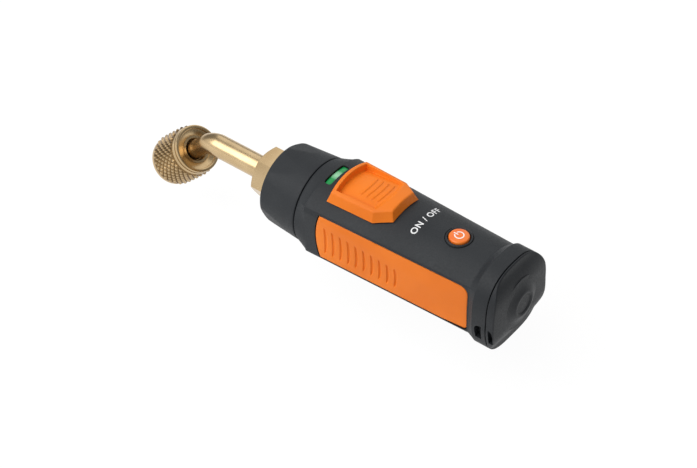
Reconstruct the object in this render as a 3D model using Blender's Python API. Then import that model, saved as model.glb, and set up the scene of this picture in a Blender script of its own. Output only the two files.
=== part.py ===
# Handheld pressure gauge with a bent brass port, a knurled swivel nut and a battery handle.
# Metres, +Z up. The handle runs along +X towards its rear cap, +Y is its left side.
# The origin is the middle of the sealing face at the end of the port, inside the swivel nut.

import math

import bmesh
import bpy
from mathutils import Matrix, Vector

mm = 0.001

# Clearances
fitGap = 0.3 * mm
slideGap = 0.4 * mm

# Port tube and swivel nut
tubeRadius = 4.0 * mm
tubeNeckRadius = 3.25 * mm
tubeBore = 1.9 * mm
elbowAngle = math.radians(45)
elbowRadius = 8.5 * mm
elbowAhead = 32.4 * mm
nutFromElbow = 9.2 * mm
nutLength = 18.5 * mm
nutRadius = 9.15 * mm
nutRimRadius = 8.4 * mm
nutRimLength = 2.3 * mm
nutThreadRadius = 5.55 * mm
nutWall = 4.5 * mm
nutDishRadius = 7.0 * mm
nutDishDepth = 1.2 * mm
nutNeckRadius = 4.9 * mm
nutFrontRound = 1.65 * mm
knurlStart = 2.9 * mm
knurlEnd = 16.1 * mm
knurlCells = 28
knurlRows = 9
knurlDepth = 0.4 * mm
flangeLength = 2.4 * mm
flangeRadius = 5.0 * mm
sealLength = 1.2 * mm
sealInner = 2.3 * mm
sealOuter = 3.9 * mm
depressorRadius = 0.7 * mm
depressorReach = 1.4 * mm
depressorBar = 1.1 * mm

# Hexagon fitting behind the tube
hexAcross = 15.9 * mm
hexAhead = 8.0 * mm
hexCrown = 0.8 * mm
hexSocket = 5.0 * mm
hexSpigotRadius = 7.2 * mm
hexSpigotEnd = 8.0 * mm
sensorBore = 4.4 * mm
sensorBoreStart = 4.0 * mm

# Front collar
collarLength = 15.8 * mm
collarFrontRadius = 14.2 * mm
collarRearRadius = 15.2 * mm
collarEdge = 1.9 * mm
collarWall = 2.2 * mm
collarFace = 2.8 * mm
collarFlats = 8
collarFlatStart = 13.35 * mm
collarFlatEnd = 15.6 * mm
collarSpigot = 4.0 * mm

# Handle housing: the section at its front and rear
handleFront = collarLength + fitGap
handleFull = handleFront + 4.9 * mm
handleRear = handleFull + 63.6 * mm
seamStation = handleRear + 7.7 * mm
wall = 2.2 * mm
boreRadius = 12.8 * mm
boreEnd = handleFull - 0.6 * mm
spineTop = 15.4 * mm
shoulderHeight = 10.3 * mm
shoulderFront = 14.4 * mm
shoulderRear = 12.2 * mm
sideFront = 14.8 * mm
sideRear = 12.7 * mm
creaseFront = 8.7 * mm
creaseRear = 1.4 * mm
sideFoot = 9.2 * mm
bellyHalf = 8.0 * mm
bellyFront = 15.0 * mm
bellyRear = 13.6 * mm

# Rear flange and end cap, egg-shaped in section
flangeHalf = 14.2 * mm
flangeTop = 17.1 * mm
flangeFoot = 14.0 * mm
flangeMiddle = 1.4 * mm
flangePowerTop = 2.35
flangePowerFoot = 3.0
flangeRamp = 2.4 * mm
flangeWall = 3.2 * mm
capRim = seamStation + 1.9 * mm
capRimInset = 0.7 * mm
capPlate = seamStation + 3.7 * mm
capSpigot = 4.8 * mm
capSpigotWall = 1.8 * mm
capSealStep = 0.9 * mm
capSealLength = 1.0 * mm
capInside = seamStation + 1.2 * mm
bossHeight = 1.2 * mm
bossRadius = 4.8 * mm
bossFoot = 7.2 * mm
bossRise = 1.2 * mm
bossDish = 0.5 * mm

# Lanyard eyelets at the cap's lower corners
eyeHeight = -4.4 * mm
eyeTall = 6.6 * mm
eyeBar = 1.7 * mm
eyeDepth = 1.3 * mm
eyeTunnel = 1.2 * mm
eyeAhead = 4.7 * mm
eyeBehind = 3.2 * mm

# Side grips
gripFront = handleFull + 3.8 * mm
gripRear = handleRear - 0.7 * mm
gripBow = 1.6 * mm
gripTop = 0.9 * mm
gripFoot = 0.6 * mm
gripThick = 1.0 * mm
gripCorner = 3.0 * mm
gripTurn = gripRear - 9.7 * mm
gripTurnDepth = 0.5 * mm
grooveCount = 10
grooveStart = gripFront + 3.6 * mm
groovePitch = 3.08 * mm
grooveWidth = 1.0 * mm
grooveDepth = 0.6 * mm
grooveTallFront = 11.8 * mm
grooveTallRear = 8.2 * mm
grooveTopFront = 5.6 * mm
grooveTopRear = 2.8 * mm
grooveBow = 0.6 * mm

# Thumb latch on the spine
latchFront = handleFull + 4.8 * mm
latchSide = latchFront + 18.4 * mm
latchRear = latchSide + 6.4 * mm
latchHalf = 10.2 * mm
latchRearHalf = 6.0 * mm
latchRise = 3.4 * mm
latchDraft = 0.9 * mm
latchRim = 1.5 * mm
latchDeep = 2.7 * mm
latchShallow = 0.5 * mm
latchTravel = 4.0 * mm
latchBow = 0.7 * mm
ridgeCount = 4
ridgeRise = 0.35 * mm
ridgeFront = latchFront + 10.2 * mm
ridgeRear = latchSide - 1.0 * mm
latchNeckHalf = 2.4 * mm
latchNeckFront = latchFront + 6.2 * mm
latchNeckRear = latchNeckFront + 8.0 * mm
keeperHalf = 4.0 * mm
keeperThick = 0.9 * mm
keeperSpare = 1.5 * mm
keeperTongue = 4.0 * mm

# Light window
windowStation = handleFull + 1.3 * mm
windowHalf = 5.2 * mm
windowWide = 2.5 * mm
windowDeep = 3.2 * mm
windowSunk = 0.55 * mm

# Power button
buttonStation = handleRear - 13.0 * mm
buttonRadius = 3.4 * mm
buttonRise = 0.9 * mm
buttonTravel = 0.5 * mm
buttonFlange = 4.3 * mm
buttonFlangeThick = 0.6 * mm
buttonPocket = 2.1 * mm
buttonNub = 1.2 * mm
buttonDome = 0.75 * mm
bezelRadius = 4.5 * mm
bezelRise = 0.3 * mm
bezelSeat = 1.3 * mm

# Pressure sensor
sensorRadius = 7.4 * mm
sensorLength = 4.6 * mm
sensorNose = 2.9 * mm
sensorNoseLength = 3.0 * mm
oringRadius = 0.6 * mm
sensorBoardRadius = 9.4 * mm

# Circuit board, cells and carrier
boardTop = 10.8 * mm
boardThick = 0.9 * mm
boardHalf = 6.2 * mm
boardBehind = 1.6 * mm
boardPastButton = 5.9 * mm
switchHalf = 2.2 * mm
switchTall = 0.6 * mm
radioHalfLong = 6.0 * mm
radioHalfWide = 4.5 * mm
radioTall = 0.9 * mm
radioFromScrew = 13.9 * mm
ledHalfLong = 0.8 * mm
ledHalfWide = 1.6 * mm
ledTall = 0.8 * mm
chipEdge = 0.15 * mm
screwRadius = 0.9 * mm
screwHead = 1.7 * mm
screwHeadTall = 0.5 * mm
screwLength = 2.5 * mm
screwInset = 4.0 * mm
screwSide = 4.4 * mm
cellRadius = 5.2 * mm
cellLength = 43.5 * mm
cellNub = 0.9 * mm
cellNubRadius = 1.9 * mm
cellPitch = 10.5 * mm
cellSpread = 4.55 * mm
cellDrop = 0.9 * mm
carrierFront = handleFull + 1.6 * mm
carrierWall = 1.6 * mm
contactThick = 0.5 * mm
carrierRail = 2.6 * mm
carrierHalf = 8.6 * mm
carrierCorner = 3.4 * mm
railInner = 2.2 * mm
railOuter = 7.8 * mm
railLowOuter = 5.2 * mm
springLength = 2.6 * mm
springTurns = 2.5
springWire = 0.3 * mm

# Places worked out from the sizes above
seatFromElbow = nutFromElbow + nutWall + fitGap + flangeLength
portAxis = Vector((-math.cos(elbowAngle), 0, -math.sin(elbowAngle)))
elbowPoint = -portAxis * seatFromElbow
axisHeight = elbowPoint.z
collarStation = elbowPoint.x + elbowAhead


def clearScene():
    for old in list(bpy.data.objects):
        bpy.data.objects.remove(old, do_unlink=True)


def material(name, colour, roughness, metallic=0.0):
    mat = bpy.data.materials.new(name)
    mat.use_nodes = True
    shader = mat.node_tree.nodes["Principled BSDF"]
    shader.inputs["Base Color"].default_value = (*colour, 1)
    shader.inputs["Roughness"].default_value = roughness
    shader.inputs["Metallic"].default_value = metallic
    mat.diffuse_color = (*colour, 1)
    return mat


def point(station, y=0.0, z=0.0):
    """A place given by its distance behind the collar's front and its place round the handle's axis."""
    return Vector((collarStation + station, y, axisHeight + z))


def newObject(name, bm, mat, origin=None, smooth=30):
    bmesh.ops.recalc_face_normals(bm, faces=bm.faces)
    mesh = bpy.data.meshes.new(name)
    place = origin or Vector((0, 0, 0))
    bmesh.ops.translate(bm, verts=bm.verts, vec=-place)
    bm.to_mesh(mesh)
    bm.free()
    mesh.materials.append(mat)
    if smooth:
        mesh.shade_smooth()
        mesh.set_sharp_from_angle(angle=math.radians(smooth))
    obj = bpy.data.objects.new(name, mesh)
    obj.location = place
    bpy.context.collection.objects.link(obj)
    return obj


def loft(bm, rings, loop=False):
    """Bridge rings of equally many points; the last ring can meet the first, as in a tube's wall."""
    rows = [[bm.verts.new(p) for p in ring] for ring in rings]
    bridgeRows(bm, rows + rows[:1] if loop else rows)
    if not loop:
        bm.faces.new(list(reversed(rows[0])))
        bm.faces.new(rows[-1])


def bridgeRows(bm, rows):
    for low, high in zip(rows, rows[1:]):
        for i in range(len(low)):
            j = (i + 1) % len(low)
            bm.faces.new((low[i], low[j], high[j], high[i]))


def axisMatrix(origin, direction):
    """Local +Z along the direction, local X kept in the XZ plane."""
    z = direction.normalized()
    y = Vector((0, 1, 0))
    x = y.cross(z)
    turn = Matrix((x, y, z)).transposed().to_4x4()
    return Matrix.Translation(origin) @ turn


def turned(name, profile, origin, direction, mat, steps=48, smooth=30):
    """Spin a closed profile of (along, radius) round an axis; a radius of zero closes it there."""
    bm = bmesh.new()
    place = axisMatrix(origin, direction)
    rows = []
    for along, radius in profile:
        if radius == 0:
            rows.append([bm.verts.new(place @ Vector((0, 0, along)))])
            continue
        turn = [2 * math.pi * i / steps for i in range(steps)]
        rows.append([bm.verts.new(place @ Vector((radius * math.cos(a), radius * math.sin(a), along))) for a in turn])
    pairs = list(zip(rows, rows[1:]))
    if len(rows[0]) > 1:
        pairs.append((rows[-1], rows[0]))
    for low, high in pairs:
        if len(low) == len(high) == 1:
            continue
        for i in range(steps):
            j = (i + 1) % steps
            corners = [low[i % len(low)], low[j % len(low)], high[j % len(high)], high[i % len(high)]]
            bm.faces.new(list(dict.fromkeys(corners)))
    return newObject(name, bm, mat, origin, smooth)


def arcPoints(centreA, centreR, radius, start, end, steps):
    """Points of a profile's rounded corner, as (along, radius)."""
    angles = [math.radians(start + (end - start) * i / steps) for i in range(steps + 1)]
    return [(centreA + radius * math.cos(a), centreR + radius * math.sin(a)) for a in angles]


def boxObject(name, low, high, mat, bevel=0.0):
    bm = bmesh.new()
    bmesh.ops.create_cube(bm, size=1)
    size = high - low
    bmesh.ops.scale(bm, vec=size, verts=bm.verts)
    bmesh.ops.translate(bm, vec=(low + high) / 2, verts=bm.verts)
    if bevel:
        bmesh.ops.bevel(bm, geom=bm.edges[:], offset=bevel, affect="EDGES", segments=1, profile=0.5, material=-1)
    return newObject(name, bm, mat, smooth=0)


def cut(target, cutter, operation="DIFFERENCE"):
    cutter.hide_render = True
    cutter.display_type = "WIRE"
    tool = target.modifiers.new(cutter.name, "BOOLEAN")
    tool.operation = operation
    tool.solver = "EXACT"
    tool.object = cutter


def rounded(corners, radii, steps, between):
    """Round the corners of an open outline of (y, z) points with arcs, and divide the sides between them."""
    out = []
    last = len(corners) - 1
    for i, here in enumerate(corners):
        here = Vector(here)
        if i in (0, last):
            out += divided(out, here, between[i])
            continue
        before = (Vector(corners[i - 1]) - here)
        after = (Vector(corners[i + 1]) - here)
        half = before.angle(after) / 2
        reach = min(radii[i] / math.tan(half), before.length * 0.45, after.length * 0.45)
        radius = reach * math.tan(half)
        centre = here + (before.normalized() + after.normalized()).normalized() * radius / math.sin(half)
        start = here + before.normalized() * reach - centre
        end = here + after.normalized() * reach - centre
        out += divided(out, centre + start, between[i])
        turn = start.angle(end)
        for k in range(1, steps[i] + 1):
            t = k / steps[i]
            out.append(centre + (start * math.sin((1 - t) * turn) + end * math.sin(t * turn)) / math.sin(turn))
    return out


def divided(before, here, extra):
    """The point itself, after extra points spread evenly between it and the last one."""
    if not before:
        return [here]
    return [before[-1].lerp(here, (k + 1) / (extra + 1)) for k in range(extra + 1)]


def mix(a, b, t):
    return a + (b - a) * t


def share(station):
    return min(max((station - handleFull) / (handleRear - handleFull), 0.0), 1.0)


def handleSizes(station):
    t = share(station)
    return {
        "top": spineTop,
        "shoulder": mix(shoulderFront, shoulderRear, t),
        "shoulderHeight": shoulderHeight,
        "side": mix(sideFront, sideRear, t),
        "crease": mix(creaseFront, creaseRear, t),
        "foot": -sideFoot,
        "belly": -mix(bellyFront, bellyRear, t),
        "bellyHalf": bellyHalf,
    }


def flangeOutline(inset=0.0, shrink=1.0):
    """The rear flange's egg-shaped section, with a point at the angle of each point of the handle's section."""
    ring = []
    for spot in outline(handleSizes(handleRear)):
        angle = math.atan2(spot.x, spot.y - flangeMiddle)
        above = math.cos(angle) > 0
        tall = (flangeTop - flangeMiddle if above else flangeFoot + flangeMiddle) - inset
        power = flangePowerTop if above else flangePowerFoot
        wide = abs(math.sin(angle)) / (flangeHalf - inset)
        reach = (wide ** power + (abs(math.cos(angle)) / tall) ** power) ** (-1 / power) * shrink
        ring.append(Vector((reach * math.sin(angle), flangeMiddle + reach * math.cos(angle))))
    return ring


def crownRadius(size):
    drop = size["top"] - size["shoulderHeight"]
    return (size["shoulder"] ** 2 + drop ** 2) / (2 * drop)


def crownHeight(size, y):
    radius = crownRadius(size)
    return size["top"] - radius + math.sqrt(radius ** 2 - y ** 2)


def shrunk(size, inset):
    """The same section moved inwards by a wall."""
    return {
        "top": size["top"] - inset,
        "shoulder": size["shoulder"] - inset,
        "shoulderHeight": size["shoulderHeight"] - inset * 0.6,
        "side": size["side"] - inset,
        "crease": size["crease"],
        "foot": size["foot"] + inset * 0.4,
        "belly": size["belly"] + inset,
        "bellyHalf": size["bellyHalf"] - inset * 0.5,
    }


def outline(size, inset=0.0, shoulderRound=1.2 * mm, footRound=2.5 * mm, archSteps=6):
    """One section of the handle as (y, z) points, clockwise from the top."""
    size = shrunk(size, inset)
    half = []
    for i in range(archSteps):
        y = size["shoulder"] * i / archSteps
        half.append(Vector((y, crownHeight(size, y))))
    corners = [
        half.pop(),
        (size["shoulder"], size["shoulderHeight"]),
        (size["side"], size["crease"]),
        (size["side"], size["foot"]),
        (size["bellyHalf"], size["belly"]),
        (0.0, size["belly"]),
    ]
    least = 0.4 * mm
    shoulder = max(shoulderRound - inset, least)
    foot = max(footRound - inset, least)
    half += rounded(corners, [0, shoulder, least, foot, foot, 0], [0, 3, 1, 2, 2, 0], [0, 0, 0, 3, 1, 1])
    return half + [Vector((-p.x, p.y)) for p in reversed(half[1:-1])]


def ringAt(station, section):
    return [point(station, p.x, p.y) for p in section]


def roundSection(section, radius):
    """The section's points moved onto a circle round the handle's axis."""
    return [p.normalized() * radius for p in section]


def blended(first, second, t):
    return [a.lerp(b, t) for a, b in zip(first, second)]


def polygonRadius(angle, flats, inner):
    """Distance to a regular polygon's side at an angle, the first side facing angle zero."""
    step = 2 * math.pi / flats
    return inner / math.cos((angle + step / 2) % step - step / 2)


def polarRing(station, count, radiusAt):
    angles = [2 * math.pi * i / count for i in range(count)]
    return [point(station, radiusAt(a) * math.cos(a), radiusAt(a) * math.sin(a)) for a in angles]


def slab(name, top, bottom, mat, smooth=30):
    """A closed piece between two grids of points of the same shape."""
    bm = bmesh.new()
    upper = [[bm.verts.new(p) for p in row] for row in top]
    lower = [[bm.verts.new(p) for p in row] for row in bottom]
    rows = len(top)
    columns = len(top[0])
    for i in range(rows - 1):
        for j in range(columns - 1):
            bm.faces.new((upper[i][j], upper[i][j + 1], upper[i + 1][j + 1], upper[i + 1][j]))
            bm.faces.new((lower[i][j], lower[i + 1][j], lower[i + 1][j + 1], lower[i][j + 1]))
    edge = [(0, j) for j in range(columns)] + [(i, columns - 1) for i in range(1, rows)]
    edge += [(rows - 1, j) for j in range(columns - 2, -1, -1)] + [(i, 0) for i in range(rows - 2, 0, -1)]
    for (a, b), (c, d) in zip(edge, edge[1:] + edge[:1]):
        bm.faces.new((upper[a][b], lower[a][b], lower[c][d], upper[c][d]))
    return newObject(name, bm, mat, smooth=smooth)


def cylinderAt(name, station, y, radius, low, high, mat, steps=20):
    """An upright cylinder inside the handle."""
    profile = [(0, 0), (0, radius), (high - low, radius), (high - low, 0)]
    return turned(name, profile, point(station, y, low), Vector((0, 0, 1)), mat, steps)


def portTube(mat):
    """The bent tube, narrower past its bend, with its end flange and bored through."""
    trim = elbowRadius * math.tan(elbowAngle / 2)
    start = point(-hexAhead + hexSocket - fitGap)
    backward = Vector((-1, 0, 0))
    centre = elbowPoint - backward * trim + Vector((0, 0, -elbowRadius))
    flangeRear = portAxis * -flangeLength
    stations = [(start, backward, tubeRadius)]
    for i in range(7):
        angle = elbowAngle * i / 6
        radius = mix(tubeRadius, tubeNeckRadius, i / 6)
        spot = centre + Vector((-math.sin(angle), 0, math.cos(angle))) * elbowRadius
        stations.append((spot, Vector((-math.cos(angle), 0, -math.sin(angle))), radius))
    stations.append((flangeRear, portAxis, tubeNeckRadius))
    stations.append((flangeRear, portAxis, flangeRadius))
    stations.append((Vector((0, 0, 0)), portAxis, flangeRadius))
    steps = 20

    def ring(spot, along, radius):
        place = axisMatrix(spot, along)
        turn = [2 * math.pi * i / steps for i in range(steps)]
        return [place @ Vector((radius * math.cos(a), radius * math.sin(a), 0)) for a in turn]

    rings = [ring(*station) for station in stations]
    rings += [ring(spot, along, tubeBore) for spot, along, radius in reversed(stations[:-3])]
    inner = ring(Vector((0, 0, 0)), portAxis, tubeBore)
    rings.insert(len(stations), inner)
    bm = bmesh.new()
    loft(bm, rings, loop=True)
    return newObject("port_tube", bm, mat)


def bridgeCoarse(bm, coarse, fine):
    """Join a ring to one with twice its points, three faces to each of the coarse ring's points."""
    count = len(coarse)
    for k in range(count):
        n = (k + 1) % count
        left, middle, right = fine[2 * k], fine[2 * k + 1], fine[2 * n]
        bm.faces.new((coarse[k], left, middle))
        bm.faces.new((coarse[k], middle, coarse[n]))
        bm.faces.new((coarse[n], middle, right))


def swivelNut(mat):
    """Turned nut with a dished rear, a diamond knurl and a threaded bore in front."""
    place = axisMatrix(portAxis * -(nutWall + fitGap + flangeLength), portAxis)
    neck = tubeNeckRadius + slideGap
    valley = nutRadius - knurlDepth

    def ring(bm, along, count, radiusAt):
        angles = [2 * math.pi * i / count for i in range(count)]
        return [bm.verts.new(place @ Vector((radiusAt(i) * math.cos(a), radiusAt(i) * math.sin(a), along)))
                for i, a in enumerate(angles)]

    rear = [
        (nutWall, neck),
        (nutDishDepth + 0.9 * mm, neck),
        (nutDishDepth, neck + 0.9 * mm),
        (nutDishDepth, nutNeckRadius),
        (0.4 * mm, nutDishRadius),
        (0.0, nutDishRadius + 0.3 * mm),
        (0.0, nutRimRadius - 0.3 * mm),
        (0.4 * mm, nutRimRadius),
        (nutRimLength, nutRimRadius + 0.2 * mm),
        (knurlStart - 0.5 * mm, valley),
    ]
    front = [(knurlEnd + 0.5 * mm, valley)]
    front += arcPoints(nutLength - nutFrontRound, valley - nutFrontRound, nutFrontRound, 90, 0, 3)
    front += [(nutLength, nutThreadRadius + 0.5 * mm), (nutLength - 0.5 * mm, nutThreadRadius)]
    front.append((nutWall, nutThreadRadius))
    bm = bmesh.new()
    rearRows = [ring(bm, along, knurlCells, lambda i, radius=radius: radius) for along, radius in rear]
    frontRows = [ring(bm, along, knurlCells, lambda i, radius=radius: radius) for along, radius in front]
    knurl = []
    for row in range(knurlRows + 1):
        along = mix(knurlStart, knurlEnd, row / knurlRows)
        knurl.append(ring(bm, along, knurlCells * 2, lambda i, row=row: nutRadius - knurlDepth * ((i + row) % 2)))
    bridgeRows(bm, rearRows)
    bridgeRows(bm, knurl)
    bridgeRows(bm, frontRows + rearRows[:1])
    bridgeCoarse(bm, rearRows[-1], knurl[0])
    bridgeCoarse(bm, frontRows[0], knurl[-1])
    return newObject("swivel_nut", bm, mat, origin=Vector((0, 0, 0)))


def coreDepressor(mat):
    """A pin on a cross bar that rests across the tube's bore."""
    bm = bmesh.new()
    place = axisMatrix(Vector((0, 0, 0)), portAxis)
    half = tubeBore - fitGap
    rise = depressorBar
    stem = depressorRadius
    low = -2.2 * mm
    outlineHalf = [(-half, low), (half, low), (half, low + rise), (stem, low + rise),
                   (stem, depressorReach), (-stem, depressorReach), (-stem, low + rise), (-half, low + rise)]
    rings = []
    for y in (-stem * 0.8, stem * 0.8):
        rings.append([place @ Vector((x, y, z)) for x, z in outlineHalf])
    loft(bm, rings)
    return newObject("core_depressor", bm, mat, smooth=0)


def hexFitting(mat):
    """Hexagon in front of the collar, its flats above and below, on a round shank that runs inside."""
    count = 36
    hexInner = hexAcross / 2
    corner = hexInner / math.cos(math.pi / 6)
    bore = tubeRadius + fitGap
    socketEnd = -hexAhead + hexSocket

    def ring(station, radiusAt):
        return polarRing(station, count, radiusAt)

    def hexagon(limit):
        return lambda a: min(polygonRadius(a - math.pi / 2, 6, hexInner), limit)

    rings = [
        ring(-hexAhead, lambda a: bore),
        ring(-hexAhead, lambda a: hexInner - 0.5 * mm),
        ring(-hexAhead + 0.15 * mm, hexagon(hexInner)),
        ring(-hexAhead + hexCrown * 0.5, hexagon(mix(hexInner, corner, 0.6))),
        ring(-hexAhead + hexCrown, hexagon(corner)),
        ring(-fitGap, hexagon(corner)),
        ring(-fitGap, lambda a: hexSpigotRadius),
        ring(hexSpigotEnd, lambda a: hexSpigotRadius),
        ring(hexSpigotEnd, lambda a: sensorBore),
        ring(sensorBoreStart, lambda a: sensorBore),
        ring(sensorBoreStart - 1.2 * mm, lambda a: tubeBore),
        ring(socketEnd, lambda a: tubeBore),
        ring(socketEnd, lambda a: bore),
    ]
    bm = bmesh.new()
    loft(bm, rings, loop=True)
    return newObject("hex_fitting", bm, mat)


def frontCollar(mat):
    """Round collar whose front carries shallow flats that run out towards the seam."""
    count = 40
    hexHole = hexSpigotRadius + fitGap
    insideFront = collarFrontRadius - collarWall
    spigotOuter = boreRadius - fitGap
    spigotInner = spigotOuter - 1.6 * mm

    def flats(station, base):
        inner = mix(collarFlatStart, collarFlatEnd, station / collarLength)
        return lambda a: min(base, polygonRadius(a - math.pi / collarFlats, collarFlats, inner))

    def ring(station, radius):
        return polarRing(station, count, lambda a: radius)

    rings = [ring(0, hexHole)]
    for along, radius in arcPoints(collarEdge, collarFrontRadius - collarEdge, collarEdge, 180, 90, 3):
        rings.append(polarRing(along, count, flats(along, radius)))
    for i in range(1, 5):
        station = mix(collarEdge, collarLength - 0.3 * mm, i / 4)
        radius = mix(collarFrontRadius, collarRearRadius, i / 4)
        rings.append(polarRing(station, count, flats(station, radius)))
    rings.append(ring(collarLength, collarRearRadius - 0.3 * mm))
    rings.append(ring(collarLength, spigotOuter))
    rings.append(ring(collarLength + collarSpigot, spigotOuter))
    rings.append(ring(collarLength + collarSpigot, spigotInner))
    rings.append(ring(collarLength - 1.5 * mm, spigotInner))
    rings.append(ring(collarFace + 1.0 * mm, insideFront - 1.0 * mm))
    rings.append(ring(collarFace, hexHole + 1.5 * mm))
    rings.append(ring(collarFace, hexHole))
    bm = bmesh.new()
    loft(bm, rings, loop=True)
    return newObject("front_collar", bm, mat, smooth=35)


def handleHousing(mat):
    """The hollow handle: round at the collar, arched along its back, with a flange at the rear."""
    full = outline(handleSizes(handleFull))
    count = len(full)
    circle = roundSection(full, collarRearRadius)
    bore = roundSection(full, boreRadius)
    flange = flangeOutline()
    flangeInner = flangeOutline(flangeWall)
    outer = [
        (handleFront, roundSection(full, collarRearRadius - 0.3 * mm)),
        (handleFront + 0.3 * mm, circle),
        (handleFront + 1.0 * mm, blended(circle, full, 0.3)),
        (handleFront + 2.4 * mm, blended(circle, full, 0.8)),
        (handleFull, full),
    ]
    for i in (1, 2):
        station = mix(handleFull, handleRear, i / 2)
        outer.append((station, outline(handleSizes(station))))
    rear = outer[-1][1]
    outer.append((handleRear + flangeRamp * 0.9, blended(rear, flange, 0.85)))
    outer.append((handleRear + flangeRamp * 1.1, flange))
    outer.append((seamStation, flange))
    inner = [(seamStation, flangeInner), (handleRear + flangeRamp, flangeInner)]
    for station in (handleRear, boreEnd + 2.0 * mm):
        inner.append((station, outline(handleSizes(station), inset=wall)))
    inner.append((boreEnd, bore))
    inner.append((handleFront, bore))
    bm = bmesh.new()
    loft(bm, [ringAt(station, section) for station, section in outer + inner], loop=True)
    assert all(len(section) == count for station, section in outer + inner)
    return newObject("handle_housing", bm, mat)


def gripSurface(station, z):
    """How far from the middle plane the handle's side lies at a station and height."""
    size = handleSizes(station)
    far = size["side"]
    if z > size["crease"]:
        t = (z - size["crease"]) / (size["shoulderHeight"] - size["crease"])
        far = mix(size["side"], size["shoulder"], t)
    if station > gripTurn:
        turn = (station - gripTurn) / (gripRear - gripTurn)
        far = min(far, handleSizes(gripTurn)["side"] - mix(0, gripTurnDepth, turn) - 0.0336 * (station - gripTurn))
    return far


def gripGrid(side, grow, lift, sink):
    """Outer and inner point grids of a side grip; grow widens its outline."""
    stations = [mix(gripFront, gripTurn, i / 4) for i in range(5)]
    stations += [gripRear - gripCorner * (1 - math.sin(math.radians(a))) for a in (0, 30, 60, 90)]
    outer = []
    inner = []
    for index, station in enumerate(stations):
        size = handleSizes(station)
        top = size["shoulderHeight"] - gripTop
        past = station - (gripRear - gripCorner)
        if past > 0:
            top -= gripCorner - math.sqrt(max(gripCorner ** 2 - past ** 2, 0))
        crease = min(size["crease"], top - 0.4 * mm)
        foot = size["foot"] + gripFoot
        heights = [mix(foot - grow, crease, j / 4) for j in range(5)]
        heights += [mix(crease, top + grow, j / 2) for j in (1, 2)]
        upperRow = []
        lowerRow = []
        for z in heights:
            spread = (z - (top + foot) / 2) / ((top - foot) / 2)
            bow = gripBow * (spread ** 2) * max(1 - index / 4, 0)
            place = station + bow
            if index == 0:
                place -= grow
            if index == len(stations) - 1:
                place += grow
            far = gripSurface(station, z)
            upperRow.append(point(place, side * (far + lift), z))
            lowerRow.append(point(place, side * (far - sink), z))
        outer.append(upperRow)
        inner.append(lowerRow)
    return outer, inner


def grooveCutter(name, side, mat):
    """Ten upright crescents, shorter towards the rear."""
    bm = bmesh.new()
    for i in range(grooveCount):
        station = grooveStart + groovePitch * i
        tall = mix(grooveTallFront, grooveTallRear, i / (grooveCount - 1))
        top = mix(grooveTopFront, grooveTopRear, i / (grooveCount - 1))
        middle = top - tall / 2
        far = gripSurface(station, middle)
        rear = []
        front = []
        for k in range(5):
            t = k / 4
            z = middle + tall * (t - 0.5)
            bulge = math.sin(math.pi * t)
            spot = station + grooveBow * bulge
            half = grooveWidth / 2 * (0.3 + 0.7 * bulge)
            rear.append((spot + half, z))
            front.append((spot - half, z))
        outlinePoints = front + list(reversed(rear))
        rings = [[point(x, side * y, z) for x, z in outlinePoints] for y in (far - grooveDepth, far + 1.0 * mm)]
        loft(bm, rings)
    return newObject(name, bm, mat, smooth=0)


def sideGrip(name, side, mat):
    outer, inner = gripGrid(side, 0, 0, gripThick)
    grip = slab(name, outer, inner, mat)
    cut(grip, grooveCutter(name + "_grooves", side, mat))
    return grip


def gripRecess(name, side, mat):
    outer, inner = gripGrid(side, fitGap, 2.5 * mm, gripThick + fitGap)
    return slab(name, outer, inner, mat, smooth=0)


def latchHalfWidth(station):
    if station <= latchSide:
        return mix(latchHalf + 0.3 * mm, latchHalf - 0.3 * mm, (station - latchFront) / (latchSide - latchFront))
    return mix(latchHalf - 0.3 * mm, latchRearHalf, (station - latchSide) / (latchRear - latchSide))


def thumbLatch(mat):
    """Raised thumb block with a dished top that is deep in front, and ridges across the dish."""
    size = handleSizes(latchFront)
    dishFront = latchFront + latchDraft + latchRim
    dishRear = latchSide + 1.0 * mm
    stations = [latchFront, dishFront - latchDraft, dishFront - latchDraft + 0.35 * mm]
    stations += [mix(dishFront + 2.0 * mm, ridgeFront, i / 2) for i in range(3)]
    stations += [mix(ridgeFront, ridgeRear, i / (ridgeCount * 2)) for i in range(1, ridgeCount * 2 + 1)]
    stations += [latchSide, dishRear + 1.2 * mm, latchRear]
    top = []
    bottom = []
    for station in stations:
        along = (station - latchFront) / (latchRear - latchFront)
        half = latchHalfWidth(station)
        upperHalf = half - latchDraft
        topStation = mix(latchFront + latchDraft, latchRear - latchDraft, along)
        inside = dishFront - latchDraft + 0.1 * mm < station < dishRear + 0.1 * mm
        depth = 0.0
        if inside:
            t = (station - dishFront) / (dishRear - dishFront)
            depth = mix(latchDeep, latchShallow, max(t, 0) ** 0.8)
            if ridgeFront < station < ridgeRear:
                step = round((station - ridgeFront) / (ridgeRear - ridgeFront) * ridgeCount * 2)
                depth -= ridgeRise * (step % 2)
        rimInner = upperHalf - latchRim
        spots = [upperHalf, rimInner, rimInner - 0.35 * mm, rimInner * 0.66, rimInner * 0.33, 0.0]
        signs = [(-1, s) for s in spots] + [(1, s) for s in reversed(spots[:-1])]
        upperRow = []
        lowerRow = []
        for index, (sign, y) in enumerate(signs):
            deep = depth if 2 <= index <= len(signs) - 3 else 0.0
            bow = latchBow * (y / upperHalf) ** 2 * max(1 - along * 2, 0)
            crown = crownHeight(size, y)
            upperRow.append(point(topStation + bow, sign * y, crown + latchRise - deep))
            wide = y * half / upperHalf
            lowerRow.append(point(station + bow, sign * wide, crownHeight(size, wide) + slideGap))
        top.append(upperRow)
        bottom.append(lowerRow)
    latch = slab("thumb_latch", top, bottom, mat)
    neck = boxObject("thumb_latch_neck", point(latchNeckFront, -latchNeckHalf, keeperTop() + fitGap),
                     point(latchNeckRear, latchNeckHalf, spineTop + 0.8 * mm), mat)
    cut(latch, neck, "UNION")
    return latch


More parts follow.
